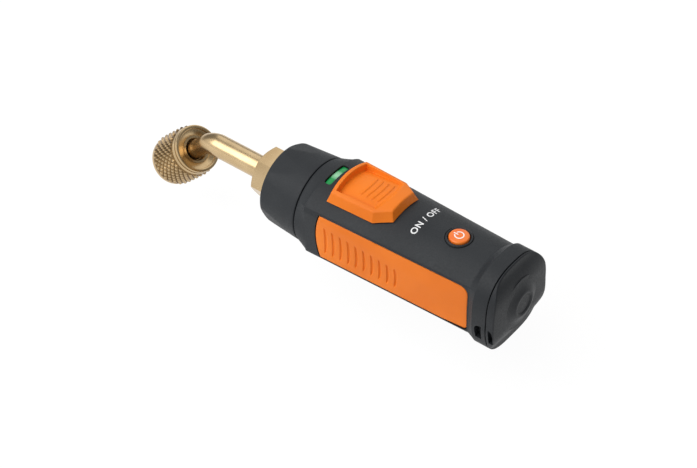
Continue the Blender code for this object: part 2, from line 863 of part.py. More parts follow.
def keeperTop():
    """Height of the latch keeper's upper face, under the spine's inner crown."""
    return crownHeight(handleSizes(latchNeckFront), keeperHalf) - wall - slideGap


def latchKeeper(mat):
    """Plate under the spine that holds the thumb latch; its tongue points to the front."""
    top = keeperTop()
    plate = boxObject("latch_keeper", point(latchNeckFront - keeperSpare, -keeperHalf, top - keeperThick),
                      point(latchNeckRear + keeperSpare, keeperHalf, top), mat)
    tongue = boxObject("latch_keeper_tongue",
                       point(latchNeckFront - keeperSpare - keeperTongue, -keeperHalf / 2, top - keeperThick),
                       point(latchNeckFront, keeperHalf / 2, top), mat)
    cut(plate, tongue, "UNION")
    return plate


def endCap(mat):
    """Rear cap: the flange's outline behind the seam, its face a low dome with a round boss."""
    front = seamStation + fitGap
    inset = flangeWall + fitGap
    spigot = flangeOutline(inset)
    step = flangeOutline(inset + capSealStep)
    hollow = flangeOutline(inset + capSpigotWall)
    stepEnd = front - capSpigot + capSealLength + fitGap
    bm = bmesh.new()
    rings = []
    for shrink in (0.3, 0.65, 0.87, 1.0):
        rings.append(ringAt(mix(capRim, capPlate, 1 - shrink ** 2), flangeOutline(capRimInset, shrink)))
    rings.append(ringAt(mix(capRim, front, 0.3), flangeOutline(capRimInset * 0.4)))
    rings.append(ringAt(mix(capRim, front, 0.8), flangeOutline()))
    rings += [ringAt(front, flangeOutline()), ringAt(front, spigot), ringAt(stepEnd, spigot), ringAt(stepEnd, step)]
    rings += [ringAt(front - capSpigot, step), ringAt(front - capSpigot, hollow), ringAt(capInside, hollow)]
    loft(bm, rings)
    cap = newObject("end_cap", bm, mat)
    seat = capInside + 0.8 * mm
    rise = capPlate + bossRise - seat
    foot = capPlate - 0.6 * mm - seat
    bossProfile = [(0, 0), (0, bossRadius), (foot, bossFoot), (rise - 0.4 * mm, bossRadius + 0.3 * mm),
                   (rise, bossRadius), (rise, bossRadius - 0.6 * mm), (rise - bossDish, bossRadius - 1.4 * mm),
                   (rise - bossDish, 0)]
    boss = turned("end_cap_boss", bossProfile, point(seat, 0, bossHeight), Vector((1, 0, 0)), mat, 40)
    cut(cap, boss, "UNION")
    return cap


def eyeletCutter(mat):
    """Two windows in the cap's corner on each side, joined behind a bar that a cord goes round."""
    far = flangeHalf + 1.0 * mm
    barFace = flangeHalf - eyeDepth
    back = barFace - eyeTunnel
    eyeFront = seamStation - eyeAhead
    eyeRear = seamStation + eyeBehind
    barFront = seamStation - eyeBar
    barRear = seamStation + fitGap + eyeBar * 0.6
    plan = [(eyeFront, far), (barFront, far), (barFront, barFace), (barRear, barFace),
            (barRear, far), (eyeRear, far), (eyeRear, back), (eyeFront, back)]
    bm = bmesh.new()
    for side in (1, -1):
        loft(bm, [[point(x, side * y, eyeHeight + z) for x, y in plan] for z in (-eyeTall / 2, eyeTall / 2)])
    return newObject("eyelets", bm, mat, smooth=0)


def joined(name, pieces):
    """One object from pieces that don't touch."""
    bm = bmesh.new()
    for piece in pieces:
        mesh = piece.data
        mesh.transform(Matrix.Translation(piece.location))
        bm.from_mesh(mesh)
        bpy.data.objects.remove(piece, do_unlink=True)
    return newObject(name, bm, mesh.materials[0], smooth=0)


def spineCutter(mat):
    """The holes along the spine: light window, latch slot and the stepped hole of the button."""
    low = spineTop - wall - 1.5 * mm
    high = spineTop + 2 * mm
    window = boxObject("window", point(windowStation - windowWide / 2, -windowHalf, low),
                       point(windowStation + windowWide / 2, windowHalf, high), mat)
    slot = boxObject("slot", point(latchNeckFront - slideGap, -latchNeckHalf - slideGap, low),
                     point(latchNeckRear + latchTravel + slideGap, latchNeckHalf + slideGap, high), mat)
    seat = spineTop - bezelSeat - low
    pocket = spineTop - buttonPocket - low
    hole = buttonRadius + fitGap
    profile = [(0, 0), (0, buttonFlange + fitGap), (pocket, buttonFlange + fitGap), (pocket, hole), (seat, hole),
               (seat, bezelRadius + fitGap), (high - low, bezelRadius + fitGap), (high - low, 0)]
    button = turned("hole", profile, point(buttonStation, 0, low), Vector((0, 0, 1)), mat, 24)
    return joined("spine_holes", [window, slot, button])


def capSeal(mat):
    """Rubber ring on the cap's step, following the outline."""
    front = seamStation + fitGap - capSpigot
    inset = flangeWall + fitGap

    outer = flangeOutline(inset)
    inner = flangeOutline(inset + capSealStep - fitGap)
    bm = bmesh.new()
    loft(bm, [ringAt(front, outer), ringAt(front + capSealLength, outer),
              ringAt(front + capSealLength, inner), ringAt(front, inner)], loop=True)
    return newObject("cap_seal", bm, mat)


def powerButton(mat):
    """Round button with a low dome, a flange under the spine that keeps it in, and a nub over the switch."""
    nub = boardTop + fitGap + switchTall + buttonTravel + fitGap
    flangeTop = spineTop - buttonPocket - fitGap - nub
    flangeLow = flangeTop - buttonFlangeThick
    top = spineTop + buttonRise - nub
    profile = [(0, 0), (0, buttonNub), (flangeLow, buttonNub), (flangeLow, buttonFlange), (flangeTop, buttonFlange),
               (flangeTop, buttonRadius), (top - buttonDome, buttonRadius),
               (top - buttonDome * 0.5, buttonRadius - buttonDome / 3),
               (top - buttonDome * 0.15, buttonRadius - buttonDome * 1.5), (top, 0)]
    return turned("power_button", profile, point(buttonStation, 0, nub), Vector((0, 0, 1)), mat, 24)


def bezelRing(mat):
    seat = spineTop - bezelSeat
    low = seat + fitGap
    top = spineTop + bezelRise
    inner = buttonRadius + fitGap
    profile = [(0, inner), (0, bezelRadius), (top - 0.5 * mm - low, bezelRadius),
               (top - low, bezelRadius - 0.5 * mm), (top - low, inner + 0.25 * mm), (top - 0.25 * mm - low, inner)]
    return turned("button_ring", profile, point(buttonStation, 0, low), Vector((0, 0, 1)), mat, 24)


def boardAndParts(mats):
    bottom = boardTop - boardThick
    front = collarLength + collarSpigot + 2 * fitGap
    rear = max(carrierRear() + boardBehind, buttonStation + boardPastButton)
    board = boxObject("main_board", point(front, -boardHalf, bottom), point(rear, boardHalf, boardTop), mats["board"])
    for index, station in enumerate(screwStations()):
        hole = cylinderAt("board_hole_%d" % index, station, screwSide, screwRadius + fitGap,
                          bottom - boardThick, boardTop + boardThick, mats["board"])
        cut(board, hole)
        low = bottom - screwLength
        head = boardTop + fitGap - low
        profile = [(0, 0), (0, screwRadius), (head, screwRadius), (head, screwHead),
                   (head + screwHeadTall / 2, screwHead), (head + screwHeadTall, screwHead * 0.6),
                   (head + screwHeadTall, 0)]
        turned("board_screw_%d" % (index + 1), profile, point(station, screwSide, low), Vector((0, 0, 1)),
               mats["steel"], 12)
    lift = boardTop + fitGap
    radioStation = screwStations()[1] - radioFromScrew
    parts = [
        ("radio_module", "tin", radioStation, radioHalfLong, radioHalfWide, radioTall),
        ("tact_switch", "black", buttonStation, switchHalf, switchHalf, switchTall),
        ("status_led", "led", windowStation, ledHalfLong, ledHalfWide, ledTall),
    ]
    for name, slot, station, halfLong, halfWide, tall in parts:
        boxObject(name, point(station - halfLong, -halfWide, lift), point(station + halfLong, halfWide, lift + tall),
                  mats[slot], chipEdge)


def screwStations():
    return (carrierFront + screwInset, carrierRear() - screwInset)


def cellCentres():
    """Where the three cells lie in the section: two stacked, one beside them."""
    return [(-cellSpread, cellPitch / 2 - cellDrop), (-cellSpread, -cellPitch / 2 - cellDrop), (cellSpread, -cellDrop)]


def cellFront():
    return carrierFront + carrierWall + contactThick + 3 * fitGap


def carrierRear():
    rear = cellFront() + cellLength + cellNub + fitGap + springLength
    return rear + contactThick + 3 * fitGap + carrierWall


def cellsAndCarrier(mats):
    front = cellFront()
    for index, (y, z) in enumerate(cellCentres()):
        start = point(front, y, z)
        profile = [(0, 0), (0, cellNubRadius), (cellNub, cellNubRadius), (cellNub, cellRadius - 0.4 * mm),
                   (cellNub + 0.4 * mm, cellRadius), (cellLength + cellNub - 0.3 * mm, cellRadius),
                   (cellLength + cellNub, cellRadius - 0.3 * mm), (cellLength + cellNub, 0)]
        turned("battery_cell_%d" % (index + 1), profile, start, Vector((1, 0, 0)), mats["cell"], 16)
        contactSpring("contact_spring_%d" % (index + 1), front + cellNub + cellLength + fitGap, y, z, mats["steel"])
    top = boardTop - boardThick - fitGap
    rearEnd = carrierRear()
    low = carrierLow(rearEnd)
    for name, station in (("front_contacts", carrierFront + carrierWall + fitGap),
                          ("rear_contacts", rearEnd - carrierWall - fitGap - contactThick)):
        boxObject(name, point(station, -carrierHalf, low + carrierRail + fitGap),
                  point(station + contactThick, carrierHalf, top - carrierRail - fitGap), mats["steel"])
    carrier = carrierEnd("battery_carrier", carrierFront, carrierLow(carrierFront), mats["carrier"])
    rearWall = carrierEnd("carrier_rear", rearEnd - carrierWall, low, mats["carrier"])
    upperRail = boxObject("carrier_upper", point(carrierFront + fitGap, railInner, top - carrierRail),
                          point(rearEnd - fitGap, railOuter, top), mats["carrier"])
    lowerRail = boxObject("carrier_lower", point(carrierFront + fitGap, railInner, low),
                          point(rearEnd - fitGap, railLowOuter, low + carrierRail), mats["carrier"])
    for piece in (rearWall, upperRail, lowerRail):
        cut(carrier, piece, "UNION")
    for index, station in enumerate(screwStations()):
        hole = cylinderAt("carrier_hole_%d" % index, station, screwSide, screwRadius + fitGap,
                          top - carrierRail - 1 * mm, top + 1 * mm, mats["carrier"])
        cut(carrier, hole)


def carrierLow(station):
    """The carrier's lowest height at a station: just over the inside of the belly."""
    return handleSizes(station)["belly"] + wall + fitGap


def carrierEnd(name, station, low, mat):
    """An end wall of the carrier, with its lower corners cut off beside the handle's feet."""
    top = boardTop - boardThick - fitGap
    half = carrierHalf
    corner = carrierCorner
    section = [(-half, top), (half, top), (half, low + corner), (half - corner, low), (-half + corner, low),
               (-half, low + corner)]
    bm = bmesh.new()
    loft(bm, [[point(x, y, z) for y, z in section] for x in (station, station + carrierWall)])
    return newObject(name, bm, mat, smooth=0)


def contactSpring(name, station, y, z, mat):
    """A short coil between a cell's flat end and the rear contacts."""
    perTurn = 8
    total = int(springTurns * perTurn)
    rings = []
    for i in range(total + 1):
        t = i / total
        angle = 2 * math.pi * springTurns * t
        radius = mix(3.2 * mm, 2.0 * mm, t)
        along = mix(springWire, springLength - springWire, t)
        centre = point(station + springLength - along, y + radius * math.cos(angle), z + radius * math.sin(angle))
        outward = Vector((0, math.cos(angle), math.sin(angle)))
        ahead = Vector((1, 0, 0))
        turn = [2 * math.pi * k / 5 for k in range(5)]
        rings.append([centre + (outward * math.cos(a) + ahead * math.sin(a)) * springWire for a in turn])
    bm = bmesh.new()
    loft(bm, rings)
    return newObject(name, bm, mat)


def sensorParts(mats):
    rear = hexSpigotEnd + fitGap
    ahead = Vector((1, 0, 0))
    start = rear - sensorNoseLength
    profile = [(0, 0.8 * mm), (0, sensorNose), (sensorNoseLength, sensorNose),
               (sensorNoseLength, sensorRadius - 0.5 * mm), (sensorNoseLength + 0.5 * mm, sensorRadius),
               (sensorNoseLength + sensorLength - 0.5 * mm, sensorRadius),
               (sensorNoseLength + sensorLength, sensorRadius - 0.5 * mm), (sensorNoseLength + sensorLength, 0),
               (1.6 * mm, 0), (1.6 * mm, 0.8 * mm)]
    turned("pressure_sensor", profile, point(start), ahead, mats["steel"], 20)
    ringMiddle = (sensorNose + sensorBore) / 2
    circle = arcPoints(0, ringMiddle, oringRadius, 0, 300, 5)
    turned("sensor_oring", circle, point(rear - sensorNoseLength / 2), ahead, mats["rubber"], 20)
    plate = rear + sensorLength + fitGap
    turned("sensor_board", [(0, 0), (0, sensorBoardRadius), (0.8 * mm, sensorBoardRadius), (0.8 * mm, 0)],
           point(plate), ahead, mats["board"], 28)


def main():
    clearScene()
    mats = {
        "black": material("charcoal_plastic", (0.045, 0.05, 0.055), 0.55),
        "orange": material("orange_plastic", (0.85, 0.24, 0.03), 0.5),
        "brass": material("brass", (0.72, 0.52, 0.28), 0.28, 1.0),
        "green": material("green_window", (0.02, 0.36, 0.1), 0.15),
        "rubber": material("black_rubber", (0.02, 0.02, 0.02), 0.8),
        "steel": material("steel", (0.62, 0.62, 0.62), 0.3, 1.0),
        "board": material("circuit_board", (0.02, 0.16, 0.07), 0.5),
        "tin": material("tin_shield", (0.7, 0.7, 0.7), 0.35, 1.0),
        "led": material("led_body", (0.9, 0.9, 0.85), 0.4),
        "cell": material("cell_wrap", (0.1, 0.12, 0.16), 0.35),
        "carrier": material("grey_plastic", (0.3, 0.31, 0.32), 0.6),
        "seal": material("white_seal", (0.85, 0.85, 0.82), 0.5),
    }
    black = mats["black"]
    housing = handleHousing(black)
    eyelets = eyeletCutter(black)
    cut(housing, eyelets)
    recesses = [gripRecess("left_recess", 1, black), gripRecess("right_recess", -1, black)]
    cut(housing, joined("grip_recesses", recesses))
    cut(housing, spineCutter(black))
    cap = endCap(black)
    cut(cap, eyelets)
    frontCollar(black)
    capSeal(mats["rubber"])
    sideGrip("left_grip", 1, mats["orange"])
    sideGrip("right_grip", -1, mats["orange"])
    thumbLatch(mats["orange"])
    latchKeeper(black)
    boxObject("light_window", point(windowStation - windowWide / 2 + fitGap, -windowHalf + fitGap, spineTop - windowDeep),
              point(windowStation + windowWide / 2 - fitGap, windowHalf - fitGap, spineTop - windowSunk),
              mats["green"], 0.2 * mm)
    powerButton(mats["orange"])
    bezelRing(black)
    boardAndParts(mats)
    cellsAndCarrier(mats)
    sensorParts(mats)
    hexFitting(mats["brass"])
    portTube(mats["brass"])
    swivelNut(mats["brass"])
    sealSection = [(0, sealInner), (0, sealOuter), (sealLength, sealOuter), (sealLength, sealInner)]
    turned("port_seal", sealSection, portAxis * fitGap, portAxis, mats["seal"], 24)
    coreDepressor(mats["brass"])


main()
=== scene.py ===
import math

import bmesh
import bpy
from mathutils import Matrix, Vector


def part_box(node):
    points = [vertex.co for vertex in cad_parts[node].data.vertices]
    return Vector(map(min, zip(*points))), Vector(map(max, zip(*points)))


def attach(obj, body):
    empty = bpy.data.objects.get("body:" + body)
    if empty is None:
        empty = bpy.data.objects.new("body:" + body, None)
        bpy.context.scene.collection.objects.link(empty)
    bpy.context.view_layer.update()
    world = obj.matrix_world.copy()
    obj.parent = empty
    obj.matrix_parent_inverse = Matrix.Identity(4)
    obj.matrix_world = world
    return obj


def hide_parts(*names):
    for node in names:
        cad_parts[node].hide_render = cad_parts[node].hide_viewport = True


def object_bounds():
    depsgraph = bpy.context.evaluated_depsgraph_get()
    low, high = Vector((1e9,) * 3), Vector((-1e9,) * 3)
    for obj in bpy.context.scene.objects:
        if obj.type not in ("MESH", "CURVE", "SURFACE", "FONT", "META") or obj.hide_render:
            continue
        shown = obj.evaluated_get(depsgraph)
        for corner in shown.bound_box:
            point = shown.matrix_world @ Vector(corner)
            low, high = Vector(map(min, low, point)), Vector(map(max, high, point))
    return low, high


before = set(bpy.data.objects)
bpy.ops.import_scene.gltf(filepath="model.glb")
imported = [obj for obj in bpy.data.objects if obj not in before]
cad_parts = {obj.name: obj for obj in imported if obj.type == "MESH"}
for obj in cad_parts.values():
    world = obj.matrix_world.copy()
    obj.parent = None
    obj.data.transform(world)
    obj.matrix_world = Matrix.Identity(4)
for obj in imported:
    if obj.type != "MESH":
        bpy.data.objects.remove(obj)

cadBox = [list(corner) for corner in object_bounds()]
mm = 0.001

collarLow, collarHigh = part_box("front_collar")
frontX = collarLow.x                              # the collar's front, station 0
axisZ = (collarLow.z + collarHigh.z) / 2          # height of the handle's axis
portAxis = Vector((-1, 0, -1)).normalized()
print("frame loaded, handle axis at", round(axisZ / mm, 2), "mm")


def place(station, y=0.0, z=0.0):                 # millimetres behind the collar's front, and round the axis
    return Vector((frontX + station * mm, y * mm, axisZ + z * mm))


def mix(a, b, t):
    return a + (b - a) * t


def clamp(value, low=0.0, high=1.0):
    return min(max(value, low), high)


def ease(value):
    t = clamp(value)
    return t * t * (3 - 2 * t)


def softMin(a, b, blend):                         # the lesser of two, rounded where they meet
    h = clamp(0.5 + 0.5 * (b - a) / blend)
    return mix(b, a, h) - blend * h * (1 - h)


def addLoop(bm, points):
    corners = [bm.verts.new(p) for p in points]
    return [bm.edges.new(pair) for pair in zip(corners, corners[1:] + corners[:1])]


def bridgeLoops(bm, loops):                       # a closed body through all the loops
    rings = [addLoop(bm, loop) for loop in loops]
    for low, high in zip(rings, rings[1:]):
        bmesh.ops.bridge_loops(bm, edges=low + high)
    for ring in (rings[0], rings[-1]):
        bmesh.ops.contextual_create(bm, geom=ring)


def finishPiece(name, bm, body, replaced=(), slot=None, material=None, smoothAngle=30):
    bmesh.ops.remove_doubles(bm, verts=bm.verts[:], dist=1e-7)
    bmesh.ops.recalc_face_normals(bm, faces=bm.faces[:])
    mesh = bpy.data.meshes.new(name)
    bm.to_mesh(mesh)
    bm.free()
    mesh.shade_smooth()
    mesh.set_sharp_from_angle(angle=math.radians(smoothAngle))
    piece = bpy.data.objects.new(name, mesh)
    bpy.context.scene.collection.objects.link(piece)
    if material:
        mesh.materials.append(material)
    if body:
        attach(piece, body)
        if replaced:
            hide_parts(*replaced)
    return piece


def cutWith(piece, cutter):                       # EXACT loses most of the housing and of the cap here
    tool = piece.modifiers.new("cut", "BOOLEAN")
    tool.operation = "DIFFERENCE"
    tool.solver = "MANIFOLD"
    tool.object = cutter


def applyCuts(piece, cutters, smoothAngle):       # the finished mesh takes the place of the live cuts
    bpy.context.view_layer.update()
    evaluated = piece.evaluated_get(bpy.context.evaluated_depsgraph_get())
    mesh = bpy.data.meshes.new_from_object(evaluated)
    piece.modifiers.clear()
    piece.data = mesh
    mesh.shade_smooth()
    mesh.set_sharp_from_angle(angle=math.radians(smoothAngle))
    for cutter in cutters:
        bpy.data.objects.remove(cutter, do_unlink=True)


def alongPort():                                  # local +Z out of the port, local X in the middle plane
    z = portAxis
    y = Vector((0, 1, 0))
    return Matrix((y.cross(z), y, z)).transposed().to_4x4()


class Wire:                                       # a socket that takes part in plain sums
    def __init__(self, finish, socket):
        self.finish, self.socket = finish, socket

    def sum(self, operation, *others):
        return self.finish.node("ShaderNodeMath", {"operation": operation}, dict(enumerate((self, *others))))

    def __add__(self, other):
        return self.sum("ADD", other)

    __radd__ = __add__

    def __sub__(self, other):
        return self.sum("SUBTRACT", other)

    def __rsub__(self, other):
        return self.finish.node("ShaderNodeMath", {"operation": "SUBTRACT"}, {0: other, 1: self})

    def __mul__(self, other):
        return self.sum("MULTIPLY", other)

    __rmul__ = __mul__

    def __truediv__(self, other):
        return self.sum("DIVIDE", other)

    def __pow__(self, other):
        return self.sum("POWER", other)


class Finish:
    def __init__(self, name, **fixed):
        self.material = bpy.data.materials.new(name)
        self.material.use_nodes = True
        self.tree = self.material.node_tree
        self.shader = self.tree.nodes["Principled BSDF"]
        for label, value in fixed.items():
            self.shader.inputs[label.replace("_", " ")].default_value = value

    def node(self, kind, settings=None, sockets=None, output=0):
        new = self.tree.nodes.new(kind)
        for key, value in (settings or {}).items():
            setattr(new, key, value)
        for key, value in (sockets or {}).items():
            if isinstance(value, Wire):
                self.tree.links.new(value.socket, new.inputs[key])
            else:
                new.inputs[key].default_value = value
        return Wire(self, new.outputs[output])

    def feed(self, label, wire):
        self.tree.links.new(wire.socket, self.shader.inputs[label])

    def where(self):                              # metres in the piece's own space, which is the row frame
        return self.node("ShaderNodeTexCoord", output="Object")

    def axes(self):
        split = self.node("ShaderNodeSeparateXYZ", None, {0: self.where()})
        return [Wire(self, split.socket.node.outputs[i]) for i in range(3)]

    def noise(self, scale, detail=3.0, roughness=0.5):
        return self.node("ShaderNodeTexNoise", None, {"Vector": self.where(), "Scale": scale,
                                                      "Detail": detail, "Roughness": roughness})

    def colours(self, factor, first, second):
        first = (*first, 1) if isinstance(first, tuple) else first
        second = (*second, 1) if isinstance(second, tuple) else second
        return self.node("ShaderNodeMix", {"data_type": "RGBA"}, {0: factor, 6: first, 7: second}, output=2)

    def spread(self, wire, low, high, toLow, toHigh):
        return self.node("ShaderNodeMapRange", None, {0: wire, 1: low, 2: high, 3: toLow, 4: toHigh})

    def share(self, wire, low, high):             # a wire between two levels, as 0 to 1
        return self.spread(wire, low, high, 0.0, 1.0)

    def bump(self, height, strength, distance):
        sockets = {"Height": height, "Strength": strength, "Distance": distance}
        self.feed("Normal", self.node("ShaderNodeBump", None, sockets))


charcoal = {
    "dark": (0.0150, 0.0172, 0.0200), "light": (0.0225, 0.0255, 0.0290), "cloud": 38, "grain": 1900,
    "grainHeight": 0.00008,
}
orange = {
    "deep": (0.78, 0.175, 0.008), "light": (0.88, 0.215, 0.014), "cloud": 45, "grain": 3200,
    "grainHeight": 0.00002,
}
brassTone = {
    # valley: a painted shade colour for the hollows of the knurl
    "base": (0.66, 0.49, 0.28), "worn": (0.47, 0.33, 0.17), "valley": (0.22, 0.13, 0.05), "cloud": 90,
    "grain": 5200, "grainHeight": 0.000006,
}


def charcoalPlastic():
    finish = Finish("charcoalPlastic", IOR=1.46, Specular_IOR_Level=0.34)
    cloud = finish.noise(charcoal["cloud"], 2)
    grain = finish.noise(charcoal["grain"], 2, 0.6)
    tone = finish.colours(finish.share(cloud, 0.35, 0.65), charcoal["dark"], charcoal["light"])
    finish.feed("Base Color", tone)
    finish.feed("Roughness", finish.spread(grain, 0.3, 0.7, 0.46, 0.62))
    finish.bump(grain, 0.5, charcoal["grainHeight"])
    return finish.material


def orangePlastic():
    finish = Finish("orangePlastic", IOR=1.47, Specular_IOR_Level=0.28)
    cloud = finish.noise(orange["cloud"], 2)
    grain = finish.noise(orange["grain"], 2)
    tone = finish.colours(finish.share(cloud, 0.35, 0.65), orange["deep"], orange["light"])
    finish.feed("Base Color", tone)
    finish.feed("Roughness", finish.spread(grain, 0.3, 0.7, 0.42, 0.54))
    finish.bump(grain, 0.35, orange["grainHeight"])
    return finish.material


def turnedBrass(name="turnedBrass", roughness=0.24, shadedValleys=False):
    finish = Finish(name, Metallic=1.0)
    cloud = finish.noise(brassTone["cloud"])
    fine = finish.noise(brassTone["grain"], 3, 0.6)
    tone = finish.colours(finish.share(cloud, 0.3, 0.75), brassTone["base"], brassTone["worn"])
    if shadedValleys:                                    # painted shade: the knurl's valleys are painted darker than its tops
        ridge = finish.node("ShaderNodeAttribute", {"attribute_name": "ridge"}, output=2)
        tone = finish.colours(finish.share(ridge, 0.25, 1.0), brassTone["valley"], tone)
    finish.feed("Base Color", tone)
    finish.feed("Roughness", finish.spread(fine, 0.25, 0.75, roughness - 0.05, roughness + 0.1))
    finish.bump(fine, 0.25, brassTone["grainHeight"])
    return finish.material


innerGrain = {"scale": 1200, "darker": 0.85, "rough": 0.06, "height": 0.00001}


def plainFinish(name, colour, roughness, metallic):
    finish = Finish(name, Metallic=metallic)
    cloud = finish.noise(innerGrain["scale"])
    darker = tuple(c * innerGrain["darker"] for c in colour)
    rough = innerGrain["rough"]
    finish.feed("Base Color", finish.colours(finish.share(cloud, 0.3, 0.7), darker, colour))
    finish.feed("Roughness", finish.spread(cloud, 0.3, 0.7, roughness - rough, roughness + rough))
    finish.bump(cloud, 0.3, innerGrain["height"])
    return finish.material


black = charcoalPlastic()
orangeSkin = orangePlastic()
brass = turnedBrass()
print("finishes made")


handle = {
    "front": 16.1, "full": 21.0, "rear": 84.6, "seam": 92.3,
    "top": 15.4, "shoulder": (14.4, 12.2), "shoulderHeight": 10.3, "side": (14.8, 12.7), "crease": (8.7, 1.4),
    "foot": -9.2, "belly": (-15.0, -13.6), "bellyHalf": 8.0, "collarRadius": 15.2, "plugRadius": 12.0,
    "plugEnd": 18.5, "shoulderRound": 1.2, "creaseRound": 2.0, "footRound": 2.5, "facet": 74.2,
    "facetSlope": 0.085, "smooth": 28,
}
flange = {
    "half": 14.35, "top": 17.0, "foot": -15.2, "middle": 1.6, "powers": (2.5, 3.5), "ramp": 2.5,
    "plate": 96.0, "curve": 11.5, "flatTop": 7.4, "flatFoot": -4.2, "least": 0.7, "dome": 0.5, "gap": 0.3,
    "rim": 0.5,
}


def handleSize(station):
    t = clamp((station - handle["full"]) / (handle["rear"] - handle["full"]))
    return {key: mix(*value, t) if isinstance(value, tuple) else value for key, value in handle.items()}


def crown(size, y):                               # height of the arched spine
    drop = size["top"] - size["shoulderHeight"]
    radius = (size["shoulder"] ** 2 + drop ** 2) / (2 * drop)
    return size["top"] - radius + math.sqrt(max(radius ** 2 - y ** 2, 0))


def filleted(corners, radii, steps, between):     # open outline with its corners eased into arcs
    out = [Vector(corners[0])]
    for i in range(1, len(corners)):
        here = Vector(corners[i])
        start, arc = here, []
        if i < len(corners) - 1:
            back, ahead = Vector(corners[i - 1]) - here, Vector(corners[i + 1]) - here
            most = 0.48 * min(back.length, ahead.length)
            reach = max(min(radii[i] / math.tan(back.angle(ahead) / 2), most), 0.3)
            start, end = here + back.normalized() * reach, here + ahead.normalized() * reach
            arc = [start.lerp(here, k / steps[i]).lerp(here.lerp(end, k / steps[i]), k / steps[i])
                   for k in range(1, steps[i] + 1)]
        last = out[-1]
        out += [last.lerp(start, (k + 1) / (between[i] + 1)) for k in range(between[i] + 1)] + arc
    return out


def section(size):                                # outline across the handle, from the spine round both sides
    shoulder, side, belly = size["shoulder"], size["side"], size["belly"]
    arch = [Vector((shoulder * i / 24, crown(size, shoulder * i / 24))) for i in range(24)]
    corners = [arch.pop(), (shoulder, size["shoulderHeight"]), (side, size["crease"]), (side, size["foot"]),
               (size["bellyHalf"], belly), (0, belly)]
    radii = [0, size["shoulderRound"], size["creaseRound"], size["footRound"], size["footRound"], 0]
    half = arch + filleted(corners, radii, [0, 8, 5, 7, 7, 0], [0, 0, 5, 9, 5, 7])
    return half + [Vector((-p.x, p.y)) for p in reversed(half[1:-1])]


def eggRing(inset=0.0, shrink=1.0):               # the rear flange, with a point for each of the section's
    ring = []
    for spot in section(handleSize(handle["rear"])):
        angle = math.atan2(spot.x, spot.y - flange["middle"])
        above = math.cos(angle) > 0
        tall = (flange["top"] - flange["middle"] if above else flange["middle"] - flange["foot"]) - inset
        power = flange["powers"][0 if above else 1]
        wide = abs(math.sin(angle)) / (flange["half"] - inset)
        reach = (wide ** power + (abs(math.cos(angle)) / tall) ** power) ** (-1 / power) * shrink
        ring.append(Vector((reach * math.sin(angle), flange["middle"] + reach * math.cos(angle))))
    return ring


def ringAt(station, points):
    return [place(station, p.x, p.y) for p in points]


def roundRing(points, radius):
    return [p.normalized() * radius for p in points]


def lerpRing(first, second, t):
    return [a.lerp(b, t) for a, b in zip(first, second)]


def sideAt(station, z):                           # half width of the handle's side, with its facets
    size = handleSize(station)
    slope = (size["shoulder"] - size["side"]) / (size["shoulderHeight"] - size["crease"])
    upper = size["side"] + (z - size["crease"]) * slope
    rearFacet = handleSize(handle["facet"])["side"] - handle["facetSlope"] * (station - handle["facet"])
    return softMin(softMin(size["side"], upper, 0.12), rearFacet, 0.1)


grip = {
    "front": 24.8, "rear": 83.9, "bow": 1.6, "top": 0.9, "foot": 0.6, "corner": 3.0, "lowCorner": 1.4,
    "grooves": 10, "grooveStart": 28.4, "groovePitch": 3.08, "grooveHalf": 0.62, "grooveDeep": 0.75,
    "tall": (11.8, 8.2), "grooveTop": (5.6, 2.8), "edge": 0.45, "columns": 300, "rows": 84, "thick": 0.6,
    "gap": 0.22, "recess": (10.2, 18.0),
}


def gripLimits(station):
    size = handleSize(station)
    return size["foot"] + grip["foot"], size["shoulderHeight"] - grip["top"]


def gripEnds(v, low, high):                       # front and rear station of the grip at a height
    spread = v * 2 - 1
    front = grip["front"] + grip["bow"] * spread ** 2
    z = mix(low, high, v)
    rear = grip["rear"]
    upper, lower = grip["corner"], grip["lowCorner"]
    for corner, past in ((upper, z - (high - upper)), (lower, low + lower - z)):
        if past > 0:
            rear = min(rear, grip["rear"] - corner + math.sqrt(max(corner ** 2 - past ** 2, 0)))
    return front, rear


def grooveDepth(station, z):
    number = round((station - grip["grooveStart"]) / grip["groovePitch"])
    if not 0 <= number < grip["grooves"]:
        return 0.0
    t = number / (grip["grooves"] - 1)
    tall = mix(*grip["tall"], t)
    along = (z - (mix(*grip["grooveTop"], t) - tall / 2)) / (tall / 2)
    if abs(along) >= 1:
        return 0.0
    bulge = 1 - along ** 2
    spot = grip["grooveStart"] + grip["groovePitch"] * number + 0.6 * bulge
    half = grip["grooveHalf"] * (0.25 + 0.75 * bulge)
    across = (station - spot) / half
    if abs(across) >= 1:
        return 0.0
    # a steep front wall and a floor that rises to the rear
    wall = ease((across + 1) / 0.55) if across < 0 else 1.0
    return grip["grooveDeep"] * wall * clamp(1 - max(across, -0.45) * 0.9) * min(1, bulge * 3) * 0.62


def makeGrip(name, side, replaced):
    bm = bmesh.new()
    bmesh.ops.create_grid(bm, x_segments=grip["columns"], y_segments=grip["rows"], size=0.5)
    rim = [e for e in bm.edges if e.is_boundary]
    for vert in bm.verts:
        u, v = vert.co.x + 0.5, vert.co.y + 0.5
        station = mix(grip["front"], grip["rear"], u)
        low, high = gripLimits(station)
        front, rear = gripEnds(v, low, high)
        station = mix(front, rear, u)
        low, high = gripLimits(station)
        z = mix(low, high, v)
        inside = min(station - front, rear - station, z - low, high - z)
        drop = 0.0
        if inside < grip["edge"]:
            drop = grip["edge"] - math.sqrt(max(grip["edge"] ** 2 - (grip["edge"] - inside) ** 2, 0))
        far = sideAt(station, z) - drop - grooveDepth(station, z)
        vert.co = place(station, side * far, z)
    skirt = bmesh.ops.extrude_edge_only(bm, edges=rim)["geom"]
    for vert in [g for g in skirt if isinstance(g, bmesh.types.BMVert)]:
        vert.co.y -= side * grip["thick"] * mm
    bmesh.ops.contextual_create(bm, geom=[g for g in skirt if isinstance(g, bmesh.types.BMEdge)])
    finishPiece(name, bm, "handle", [replaced], "orange_plastic", orangeSkin, 40)


